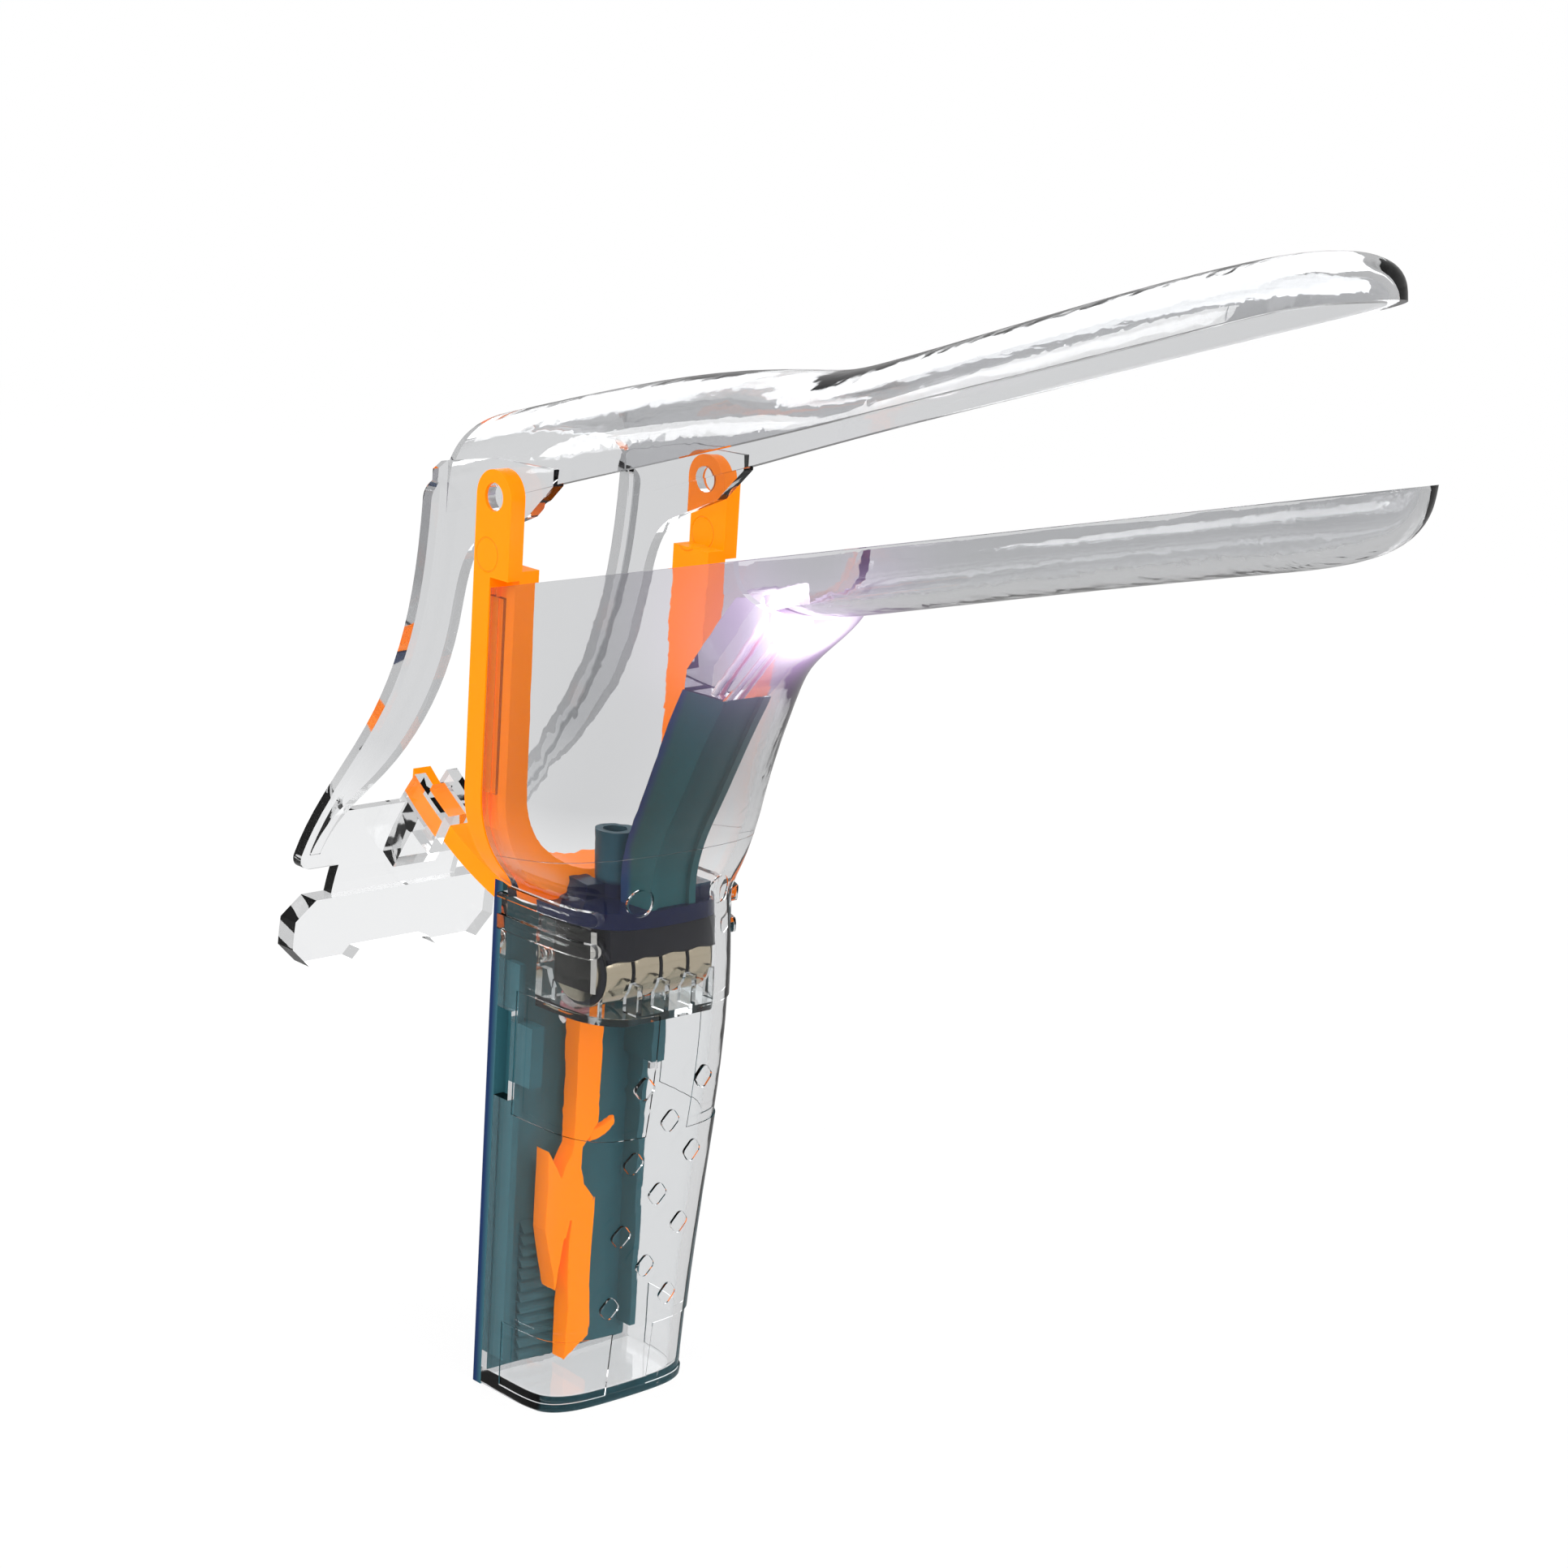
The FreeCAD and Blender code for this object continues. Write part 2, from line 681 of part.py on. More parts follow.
def frameSheet():
    """The thin curved sheet: two flanges, the plate between them and the thumb lever."""
    sheetDepth = size("frame_sheet")
    leverDepth = size("lever_thickness")
    rear = framePoints(0, 8)
    across = flangeFace + wall
    band = sideSlab([rear, list(reversed(framePoints(sheetDepth, 8)))], -across, across)
    thick = sideSlab([rear, list(reversed(framePoints(leverDepth, 8)))], -across, across)
    far = frameLine[-1][0] - 5
    sheetFront = frontSlab([
        (-flangeFace, plateFootZ), (flangeFace, plateFootZ), (flangeFace, pivotZ - 0.5),
        (-flangeFace, pivotZ - 0.5)], far, 0, 3.0)
    window = frontSlab([
        (-earInner, plateTopZ), (earInner, plateTopZ), (earInner, pivotZ + 12), (-earInner, pivotZ + 12)],
        far - 1, 1, 4.0)
    neckHalf = size("lever_neck_width / 2")
    neck = block(far, -neckHalf, leverTopZ - 2, 0, neckHalf, plateFootZ + 3)
    leverHalf = size("lever_width / 2")
    lobe = leverHalf * 0.42
    plate = frontSlab([
        (-leverHalf, leverTopZ - 3.5), (-leverHalf, leverFootZ + 3.5), (-leverHalf + 3.5, leverFootZ),
        (-lobe, leverFootZ), (-lobe + 1.6, leverFootZ + 1.6), (lobe - 1.6, leverFootZ + 1.6),
        (lobe, leverFootZ), (leverHalf - 3.5, leverFootZ), (leverHalf, leverFootZ + 3.5),
        (leverHalf, leverTopZ - 3.5),
        (leverHalf - 3.5, leverTopZ), (-leverHalf + 3.5, leverTopZ)], far, 0)
    sheet = band.common(sheetFront.cut(window).fuse(neck))
    return [sheet, thick.common(plate)]


def frameGuide():
    """The loop on the plate's front that runs over the yoke's tongue, and the tongue's way."""
    radius = size("tongue_radius")
    gap = size("slide_gap") + 0.1
    guideWall = size("guide_wall")
    halfTongue = size("tongue_width / 2")
    back, below = frameLine[4]
    plateAngle = degrees(atan(-back / below))
    far = plateAngle - 2.5
    near = far - degrees(size("guide_length") / radius)
    inside = radius - size("tongue_thickness") - gap
    outside = radius + gap + guideWall * 0.8
    halfAcross = halfTongue + gap + guideWall
    loop = radiusBand(inside - guideWall, outside, near, far, halfAcross)
    keel = radiusBand(outside - 0.5, outside + guideWall * 4, near + 4, plateAngle, halfAcross)
    front = framePoints(0.5, 8)
    behind = sideSlab([front, (front[-1][0] - 30, front[-1][1]), (front[0][0] - 30, front[0][1])],
                      -halfAcross - 1, halfAcross + 1)
    cheeks = radiusBand(inside - guideWall, outside, far - 1, plateAngle + 3, halfAcross).cut(
        radiusBand(inside - guideWall - 1, radius + gap, far - 2, plateAngle + 4, halfTongue + gap))
    way = radiusBand(inside, radius + gap, near - 3, far + 11, halfTongue + gap)
    return loop.fuse([keel.cut(behind), cheeks.cut(behind)]).cut(way), way


upperBlade = feature("upper_blade", makeUpperBlade())

# The yoke: a fork whose bend carries a latch stem down the handle and a tongue to the rear


def makeYoke():
    body = newBody("yoke")
    arch = newSketch(body, "YokeArch", "YZ_Plane")
    inBend = "bend_radius - rail_thickness"
    top = "pivot_height + yoke_depth / 2"
    railTop = "pivot_height - rail_drop"
    level = "pivot_height - bend_drop"
    bendIn = "yoke_width / 2 - bend_radius"
    armIn = "yoke_width / 2 - arm_thickness"
    railIn = "yoke_width / 2 - rail_thickness"
    drawOutline(arch, [
        ("-(yoke_width / 2)", top),
        ("-(yoke_width / 2)", level, "bend_radius"),
        (f"-({bendIn})", f"{level} - bend_radius"),
        (bendIn, f"{level} - bend_radius", "bend_radius"),
        ("yoke_width / 2", level),
        ("yoke_width / 2", top),
        (armIn, top),
        (armIn, railTop),
        (railIn, railTop),
        (railIn, level, f"-({inBend})"),
        (bendIn, f"{level} - ({inBend})"),
        (f"-({bendIn})", f"{level} - ({inBend})", f"-({inBend})"),
        (f"-({railIn})", level),
        (f"-({railIn})", railTop),
        (f"-({armIn})", railTop),
        (f"-({armIn})", top),
    ])
    padSketch(body, arch, "YokePad", "yoke_depth", middle=True)

    crown = newSketch(body, "YokeCrown", "XZ_Plane")
    half = "yoke_depth / 2"
    drawOutline(crown, [
        (half, "pivot_height", half),
        ("0", "pivot_height + yoke_depth / 2", half),
        (f"-({half})", "pivot_height"),
        (f"-({half})", f"{top} + 1"),
        (half, f"{top} + 1"),
    ])
    pocketSketch(body, crown, "YokeCrownCut", "yoke_width + 2", middle=True)

    bore = newSketch(body, "YokeBore", "XZ_Plane")
    drawCircle(bore, "0", "pivot_height", "pin_radius + pin_clearance")
    pocketSketch(body, bore, "YokeBoreCut", "yoke_width + 2", middle=True)

    track = newSketch(body, "YokeTrack", "YZ_Plane", "-(slide_gap / 2)")
    trackTop = "pivot_height - rim_drop + 1.6"
    inset = "wall + slide_gap"
    inner = "bend_radius - wall - slide_gap"
    drawOutline(track, [
        ("-(yoke_width / 2 + 1)", trackTop),
        ("-(yoke_width / 2 + 1)", f"{level} - bend_radius - 1"),
        ("yoke_width / 2 + 1", f"{level} - bend_radius - 1"),
        ("yoke_width / 2 + 1", trackTop),
        (f"yoke_width / 2 - ({inset})", trackTop),
        (f"yoke_width / 2 - ({inset})", level, f"-({inner})"),
        (bendIn, f"{level} - ({inner})"),
        (f"-({bendIn})", f"{level} - ({inner})", f"-({inner})"),
        (f"-(yoke_width / 2 - ({inset}))", level),
        (f"-(yoke_width / 2 - ({inset}))", trackTop),
    ])
    pocketSketch(body, track, "YokeTrackCut", "yoke_depth", reverse=True)

    groove = newSketch(body, "YokeGroove", "XY_Plane", f"{level} - rail_thickness")
    for side in ("", "-"):
        outer = f"{side}(yoke_width / 2 + 1)"
        depth = f"{side}(yoke_width / 2 - wall - bead_size - slide_gap)"
        near, far = "-(slide_gap / 2)", "slide_gap + 2 * bead_size + slide_gap / 2"
        drawOutline(groove, [(near, outer), (far, outer), (far, depth), (near, depth)])
    pocketSketch(body, groove, "YokeGrooveCut",
                 "bend_drop - rim_drop + rail_thickness + 1.6", reverse=True)
    addTongue(body)
    addStem(body)
    return body


def addTongue(body):
    """The curved tongue that the upper blade's guide runs over, round the pivot axis."""
    sketch = newSketch(body, "TongueSide", "XZ_Plane")
    outer, inner = "tongue_radius", "tongue_radius - tongue_thickness"
    root, tip, taper = "root_angle", "tongue_angle", "tongue_angle - 2"

    def across(radius, angle):
        return f"-({radius}) * sin(({angle}) * 1 deg)"

    def height(radius, angle):
        return f"pivot_height - ({radius}) * cos(({angle}) * 1 deg)"

    start = "-(yoke_depth / 2) + 0.6"
    drawOutline(sketch, [
        (start, "pivot_height - bend_drop - bend_radius + rail_thickness - 1"),
        (across(inner, root), height(inner, root), f"-({inner})"),
        (across(inner, tip), height(inner, tip)),
        (across(outer, taper), height(outer, taper), outer),
        (across(outer, root), height(outer, root)),
        (start, "pivot_height - bend_drop - bend_radius + 0.8"),
    ])
    padSketch(body, sketch, "TonguePad", "tongue_width", middle=True)


def addStem(body):
    """The latch stem: a bar down the handle, a notched block to its side with the tapered pawl,
    and the leg that steadies it."""
    sketch = newSketch(body, "StemFront", "YZ_Plane", "tooth_depth + slide_gap + 0.1 - handle_rear")
    half = "stem_width / 2"
    latch = "stem_width / 2 + latch_width"
    top = "pivot_height - bend_drop - bend_radius + 1"
    block = "stem_foot + latch_height"
    leg = "stem_foot + leg_height"
    drawOutline(sketch, [
        (f"-({half})", top),
        (f"-({half})", block),
        (f"-({half}) - latch_width * 0.45", f"{block} - 5"),
        (f"-({latch})", block),
        (f"-({latch})", "stem_foot + pawl_height - 1"),
        (f"-({half}) - latch_width * 0.55", "stem_foot + pawl_tip"),
        (f"-({half}) - 0.4", "stem_foot + pawl_height"),
        (f"-({half})", "stem_foot + pawl_height"),
        (f"-({half})", "stem_foot"),
        (half, "stem_foot + 3.4"),
        (half, leg),
        ("0.3", f"{leg} + 2.6"),
        ("-0.5", f"{block} - 4"),
        ("-0.5", f"{block} - 0.4"),
        (half, f"{block} + 3.4"),
        (half, top),
    ])
    padSketch(body, sketch, "StemPad", "stem_depth")


yoke = makeYoke()

# The handle's rear cover, with a locating lip and the rack that the pawl clicks over


def makeRearCover():
    body = newBody("rear_cover")
    plate = newSketch(body, "CoverPlate", "YZ_Plane", "-handle_rear - seam_gap")
    half = "handle_width / 2"
    level = "pivot_height - bend_drop"
    bendIn = "yoke_width / 2 - bend_radius"
    round = "bend_radius + slide_gap + 0.1"
    shoulder = f"{level} - sqrt(({round}) ^ 2 - ({half} - ({bendIn})) ^ 2)"
    notch = "tongue_width / 2 + 0.5"
    floor = f"{level} - ({round})"
    drawOutline(plate, [
        (f"-({half})", "0"), (half, "0"), (half, shoulder, f"-({round})"), (bendIn, floor),
        (notch, floor), (notch, f"{floor} - 1.6"), (f"-({notch})", f"{floor} - 1.6"), (f"-({notch})", floor),
        (f"-({bendIn})", floor, f"-({round})"), (f"-({half})", shoulder)])
    padSketch(body, plate, "CoverPad", "cover_thickness", reverse=True)
    lip = newSketch(body, "CoverLip", "YZ_Plane", "-handle_rear - seam_gap")
    for side in ("", "-"):
        out = f"{side}(handle_width / 2 - wall - slide_gap)"
        inside = f"{side}(handle_width / 2 - wall - slide_gap - lip_thickness)"
        drawOutline(lip, [(out, "5"), (inside, "5"), (inside, "handle_height - 12"),
                          (out, "handle_height - 12")])
    padSketch(body, lip, "LipPad", "lip_depth")
    snap = newSketch(body, "CoverSnaps", "YZ_Plane", "-handle_rear - seam_gap")
    for side in ("", "-"):
        out = f"{side}(handle_width / 2 - wall - slide_gap)"
        inside = f"{side}(handle_width / 2 - wall - slide_gap - snap_width)"
        drawOutline(snap, [(out, "snap_level"), (inside, "snap_level"), (inside, "snap_level + snap_height"),
                           (out, "snap_level + snap_height")])
    padSketch(body, snap, "SnapPad", "snap_depth")
    tooth = newSketch(body, "RackTooth", "XZ_Plane", "stem_width / 2 + latch_width / 2")
    drawOutline(tooth, [("-handle_rear - 0.4", "rack_start"), ("tooth_depth - handle_rear", "rack_start"),
                        ("-handle_rear", "rack_start + tooth_pitch - 0.2"),
                        ("-handle_rear - 0.4", "rack_start + tooth_pitch - 0.2")])
    pad = padSketch(body, tooth, "ToothPad", "rack_width", middle=True)
    rack = body.newObject("PartDesign::LinearPattern", "Rack")
    rack.Originals = [pad]
    rack.Direction = (next(item for item in body.Origin.OriginFeatures if item.Role == "Z_Axis"), [""])
    rack.setExpression("Length", tie("tooth_pitch * (tooth_count - 1)"))
    rack.setExpression("Occurrences", tie("tooth_count"))
    body.Tip = rack
    doc.recompute()
    return body


rearCover = makeRearCover()

# The lamp set inside the handle and neck

cellZ = size("pivot_height - cell_drop")
cellX = size("cell_forward")
cellRadius = size("cell_radius")
contact = size("contact_thickness")
deckTop = size("pivot_height - deck_drop")
deckFoot = deckTop - size("deck_thickness")
deckRear = size("deck_rear")
innerHalf = handleHalf - wall
seatGap = size("seat_gap")
trayHalf = innerHalf - seatGap - size("end_wall")
stackStart = -trayHalf + contact
shellCore = bodySolid(wall + seatGap, handleRear, size("floor_thickness") + seatGap, pivotZ, 1.5)
rackFoot = cellZ - cellRadius - 0.4 - size("rack_plate")
ductHalf = size("duct_width / 2")
ductWall = size("duct_wall")


def ductSide(inset):
    """The duct's side outline: it follows the inside of the neck's front wall."""
    levels = [deckTop + (pivotZ - deckTop) * share for share in (0, 0.144, 0.288, 0.447, 0.583)]
    front = [frontLine(z) - wall - size("duct_clearance") for z in levels]
    rear = deckRear + size("stub_seat + 2 * stub_radius + duct_gap")
    depth = [(front[0] - rear) * share for share in (1.0, 1.0, 1.08, 1.2, 1.3)]
    rise = 1.2 * inset if inset else 0
    rear = [(x - d + inset, z) for x, d, z in zip(front, depth, levels)]
    ahead = [(x - inset, z) for x, z in zip(front, levels)]
    if inset:
        rear = [(rear[0][0], deckFoot - 1)] + rear + [(rear[-1][0] + 4 * rise, levels[-1] + 2 * rise)]
        ahead = [(ahead[0][0], deckFoot - 1)] + ahead + [(ahead[-1][0] + rise, levels[-1] + 2 * rise)]
    return [rear, list(reversed(ahead))]


def makeDeck():
    """The lamp set's top plate, shaped to the shell, with the stub that locates it and two pegs."""
    plate = block(deckRear, -innerHalf, deckFoot, topReach, innerHalf, deckTop).common(shellCore)
    radius = size("stub_radius")
    spot = Vector(deckRear + size("stub_seat") + radius, -0.84 * radius, deckFoot)
    rise = size("stub_height") + deckTop - deckFoot
    stub = Part.makeCylinder(radius, rise, spot)
    hollow = Part.makeCylinder(radius - 1.2, rise, spot + Vector(0, 0, rise - 5))
    hole = sideSlab(ductSide(ductWall), -ductHalf + ductWall, ductHalf - ductWall)
    step = block(deckRear, -2 * ductHalf, deckFoot, cellX - 3, -1.2 * ductHalf, deckTop + 2)
    seat = block(cellX + 1, 1.2 * ductHalf, deckFoot, cellX + 5, 2.1 * ductHalf, deckTop + 2.4)
    ways = [tube(leadPoints(side), size("lead_radius") + 0.15) for side in (-1, 1)]
    return plate.fuse([stub, step, seat]).cut([hollow, hole] + ways)


def makeDuct():
    outer = sideSlab(ductSide(0), -ductHalf, ductHalf)
    bore = sideSlab(ductSide(ductWall), -ductHalf + ductWall, ductHalf - ductWall)
    front = list(reversed(ductSide(0)[1]))
    depth = ductWall * 0.55
    channel = sideSlab([[(x - depth, z) for x, z in front], [(x + 1, z) for x, z in reversed(front)]],
                       -ductHalf + ductWall, ductHalf - ductWall)
    return outer.cut([bore, channel])


def makeCellRack():
    """The clear comb under the cells: a plate, two rows of fins and an end wall at each side."""
    outHalf = innerHalf - seatGap
    front = cellX + cellRadius + 2
    plate = size("rack_plate")
    thick = size("fin_thickness")
    finTop = rackFoot + plate + size("fin_height")
    pieces = [block(deckRear, -outHalf, rackFoot, front, outHalf, rackFoot + plate)]
    for index in range(int(size("cell_count")) + 1):
        y = stackStart + index * size("cell_length") - thick / 2
        pieces.append(block(deckRear, y, rackFoot, deckRear + 3, y + thick, finTop))
        pieces.append(block(front - 3, y, rackFoot, front, y + thick, finTop))
    for side in (-1, 1):
        low, high = sorted((side * outHalf, side * trayHalf))
        pieces.append(block(deckRear, low, rackFoot, front, high, deckFoot - seatGap))
    way = Part.makeCylinder(cellRadius + 0.3, 2 * trayHalf, Vector(cellX, -trayHalf, cellZ), Vector(0, 1, 0))
    return pieces[0].fuse(pieces[1:]).cut(way).common(shellCore)


def makeCellCover():
    """The black clip over the cells, with a lip down their front."""
    foot = cellZ + cellRadius + 0.3
    rear = deckRear + 1
    front = cellX + cellRadius + 1.4
    roof = block(rear, -trayHalf + 1.6, foot, front, trayHalf - 1.6, deckFoot - 0.1)
    lip = block(cellX + cellRadius - 1.6, -trayHalf + 1.6, foot - 3, front, trayHalf - 1.6, foot + 0.5)
    way = Part.makeCylinder(cellRadius + 0.3, 2 * trayHalf, Vector(cellX, -trayHalf, cellZ), Vector(0, 1, 0))
    wires = [tube(leadPoints(side), size("lead_radius") + 0.3) for side in (-1, 1)]
    return roof.fuse(lip).cut([way] + wires).common(shellCore)


def makeCell(index):
    start = stackStart + index * size("cell_length")
    capLength = 0.9
    along = Vector(0, 1, 0)
    can = Part.makeCylinder(cellRadius, size("cell_length") - capLength,
                            Vector(cellX, start + capLength, cellZ), along)
    cap = Part.makeCylinder(cellRadius - 1.1, capLength, Vector(cellX, start, cellZ), along)
    return can.fuse(cap)


def makeContact(side):
    """A spring-steel contact plate against an end wall of the cradle."""
    low, high = sorted((side * trayHalf, side * (trayHalf - contact)))
    width = cellRadius * 0.75
    plate = block(cellX - width, low, cellZ - width * 0.6, cellX + width, high, deckFoot - 0.6)
    return plate.common(shellCore)


def coil(start, radius, wire, rise):
    """A coil of wire along Y from a point on its axis, its turns a wire's width apart."""
    pitch = 3 * wire
    steps = round(12 * rise / pitch)
    points = []
    for index in range(steps + 1):
        angle = 2 * pi * index / 12
        points.append(start + Vector(radius * cos(angle), rise * index / steps, radius * sin(angle)))
    return tube(points, wire)


def makeSpring():
    """The coil spring between the last cell and its contact plate."""
    wire = size("spring_wire")
    stackEnd = stackStart + size("cell_length * cell_count")
    rise = trayHalf - contact - stackEnd - 2 * wire
    return coil(Vector(cellX, stackEnd + wire, cellZ), size("spring_radius"), wire, rise)


ledStart = Vector(size("led_forward"), 0, size("pivot_height - led_drop"))
ledAxis = Vector(cos(radians(size("lower_slope"))), 0, sin(radians(size("lower_slope"))))


def makeLed():
    radius = size("led_radius")
    length = size("led_length") - radius
    case = Part.makeCylinder(radius, length, ledStart, ledAxis)
    dome = Part.makeSphere(radius, ledStart + ledAxis * length)
    flange = Part.makeCylinder(radius + 0.3, 0.7, ledStart, ledAxis)
    return case.fuse([dome, flange])


def makeCoilSpring():
    """The small coil spring beside the near end of the row, which presses the near contact."""
    wire = size("coil_wire")
    radius = size("coil_radius")
    return coil(Vector(deckRear - radius - 2 * wire, -trayHalf + 0.6, cellZ), radius, wire, 10 * wire)


def makeTailLead():
    """The twisted pair that hangs from the deck beside the cells."""
    x = deckRear - 2 * size("lead_radius")
    y = -1.42 * ductHalf
    points = [Vector(x, y, deckFoot + 1.2), Vector(x, y, cellZ + 1.8),
              Vector(x + 0.2, y - 0.4, cellZ - cellRadius), Vector(x + 0.2, y - 0.6, cellZ - 2 * cellRadius)]
    return tube(points, size("lead_radius") * 1.2)


def makeLightGuide():
    """The clear block that seats the lamp on the duct and spreads its light."""
    end = ductSide(0)
    topRear = end[0][-1]
    topFront = end[1][0]
    nose = ledStart + ledAxis * (size("led_length") * 0.5)
    body = sideSlab([
        (topRear[0] + 0.4, topRear[1]), (topFront[0] - 0.5, topFront[1]), (nose.x + 1.2, nose.z - 3.4),
        (nose.x + 0.2, nose.z + 2.9), (nose.x - 6.5, nose.z + 1.6), (topRear[0] + 0.6, topRear[1] + 3.4)],
        -ductHalf, ductHalf)
    radius = size("led_radius") + 0.05
    seat = Part.makeCylinder(radius, 12, ledStart, ledAxis).fuse(
        Part.makeCylinder(radius + 0.3, 0.75, ledStart, ledAxis))
    ways = [tube(leadPoints(side), size("lead_radius") + 0.1) for side in (-1, 1)]
    return body.cut([seat] + ways)


def leadPoints(side):
    """The way of one lead: from its contact over the cells, up the duct and on to the lamp."""
    away = side * 1.1
    rise = ductSide(0)
    middles = [((rear[0] + front[0]) / 2, rear[1]) for rear, front in zip(rise[0], reversed(rise[1]))]
    over = deckFoot - size("lead_radius") - 0.2
    points = [Vector(cellX, side * (trayHalf - contact - slideGap), over), Vector(middles[0][0], away, over)]
    points += [Vector(x, away, z) for x, z in middles[1:]]
    return points + [ledStart + Vector(-0.3, away * 0.8, -0.6)]


def makeLead(side):
    """One insulated wire."""
    return tube(leadPoints(side), size("lead_radius"))


lampDeck = feature("lamp_deck", makeDeck())
lampDuct = feature("lamp_duct", makeDuct())
cellRack = feature("cell_rack", makeCellRack())
cellCover = feature("cell_cover", makeCellCover())
cells = [feature(f"button_cell_{index + 1}", makeCell(index)) for index in range(int(size("cell_count")))]
nearContact = feature("near_contact", makeContact(-1))
farContact = feature("far_contact", makeContact(1))
cellSpring = feature("cell_spring", makeSpring())
coilSpring = feature("coil_spring", makeCoilSpring())
tailLead = feature("tail_lead", makeTailLead())
lamp = feature("lamp", makeLed())
lightGuide = feature("light_guide", makeLightGuide())
nearLead = feature("near_lead", makeLead(-1))
farLead = feature("far_lead", makeLead(1))

# Checks and output

doc.recompute()
subParts = [lowerBody, upperBlade, yoke, rearCover, lampDeck, lampDuct, cellRack, cellCover, *cells,
            nearContact, farContact, cellSpring, coilSpring, tailLead, lamp, lightGuide, nearLead, farLead]
for item in doc.Objects:
    if "Invalid" in item.State or "Error" in item.State:
        raise RuntimeError(f"{item.Label} could not be worked out: {item.State}")
for item in subParts:
    if item.Shape.isNull() or not item.Shape.isValid():
        raise RuntimeError(f"{item.Label} has no sound shape")
os.makedirs("parts", exist_ok=True)
for item in subParts:
    item.Shape.exportStep(f"parts/{item.Label}.step")
    print(item.Label, len(item.Shape.Solids), round(item.Shape.Volume, 1))
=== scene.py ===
import json
from math import cos, pi, radians, sin

import bmesh
import bpy
from mathutils import Matrix, Vector


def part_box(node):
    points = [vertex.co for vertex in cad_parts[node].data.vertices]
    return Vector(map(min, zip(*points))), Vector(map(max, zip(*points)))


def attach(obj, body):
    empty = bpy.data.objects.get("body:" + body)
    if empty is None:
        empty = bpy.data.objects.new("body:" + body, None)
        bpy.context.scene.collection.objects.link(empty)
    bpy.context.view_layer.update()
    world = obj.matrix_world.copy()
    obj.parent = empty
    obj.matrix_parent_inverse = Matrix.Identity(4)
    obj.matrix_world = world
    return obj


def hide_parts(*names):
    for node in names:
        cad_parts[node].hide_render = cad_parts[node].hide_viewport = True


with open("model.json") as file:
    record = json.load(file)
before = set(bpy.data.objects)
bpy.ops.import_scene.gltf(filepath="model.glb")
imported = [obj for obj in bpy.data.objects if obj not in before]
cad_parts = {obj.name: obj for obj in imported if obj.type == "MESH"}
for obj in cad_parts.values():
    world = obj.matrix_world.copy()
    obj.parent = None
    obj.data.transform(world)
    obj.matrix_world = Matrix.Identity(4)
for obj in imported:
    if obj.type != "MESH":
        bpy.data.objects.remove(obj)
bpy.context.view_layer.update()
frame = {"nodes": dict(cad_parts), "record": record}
nodes = frame["nodes"]
print("frame loaded:", len(nodes), "CAD nodes")

# camera and studio

cameraView = {
    "place": (0.41181, -0.34747, 0.23933),
    "heading": 46.70,   # degrees, from the blades' side towards the near side
    "pitch": 14.371,
    "roll": -3.7314,
    "lens": 80.81,
}


def makeCamera():
    heading, pitch, roll = (radians(cameraView[key]) for key in ("heading", "pitch", "roll"))
    look = Vector((-sin(heading) * cos(pitch), cos(heading) * cos(pitch), -sin(pitch)))
    level = Vector((cos(heading), sin(heading), 0))
    down = look.cross(level)
    across = cos(roll) * level + sin(roll) * down
    below = cos(roll) * down - sin(roll) * level
    data = bpy.data.cameras.new("photoCamera")
    data.lens = cameraView["lens"]
    data.clip_start, data.clip_end = 0.01, 50
    camera = bpy.data.objects.new("photoCamera", data)
    turn = Matrix((across, -below, -look)).transposed()
    camera.matrix_world = Matrix.Translation(cameraView["place"]) @ turn.to_4x4()
    bpy.context.scene.collection.objects.link(camera)
    bpy.context.scene.camera = camera


studio = {
    "floorSize": 60.0,
    "floorGap": 0.0002,   # keeps the foot off the floor
    "floorColour": (0.93, 0.93, 0.93),
    "floorGlow": {"near": 0.90, "far": 1.0, "from": 0.35, "to": 1.1},   # white that the lamps don't give
    "fill": 0.42,
    "lamps": {
        "keySoftbox": {"place": (0.35, -0.85, 0.95), "size": 1.3, "power": 11.5},
        "bladeSoftbox": {"place": (0.9, 0.15, 0.75), "size": 1.0, "power": 5.5},
        "rearSoftbox": {"place": (-0.75, 0.55, 0.7), "size": 1.1, "power": 6.5, "shines": False},
        "stripLight": {"place": (-0.55, -0.6, 0.35), "size": 0.2, "power": 1.6},
    },
    "aim": (0.03, 0, 0.11),
    "glossSky": {"low": 0.42, "high": 0.18},   # how bright a gloss shows the sky, low and overhead
    "glossFloor": 0.32,
    "innerShare": 0.6,   # share of that dimming given back to light that turned inside a clear wall
}


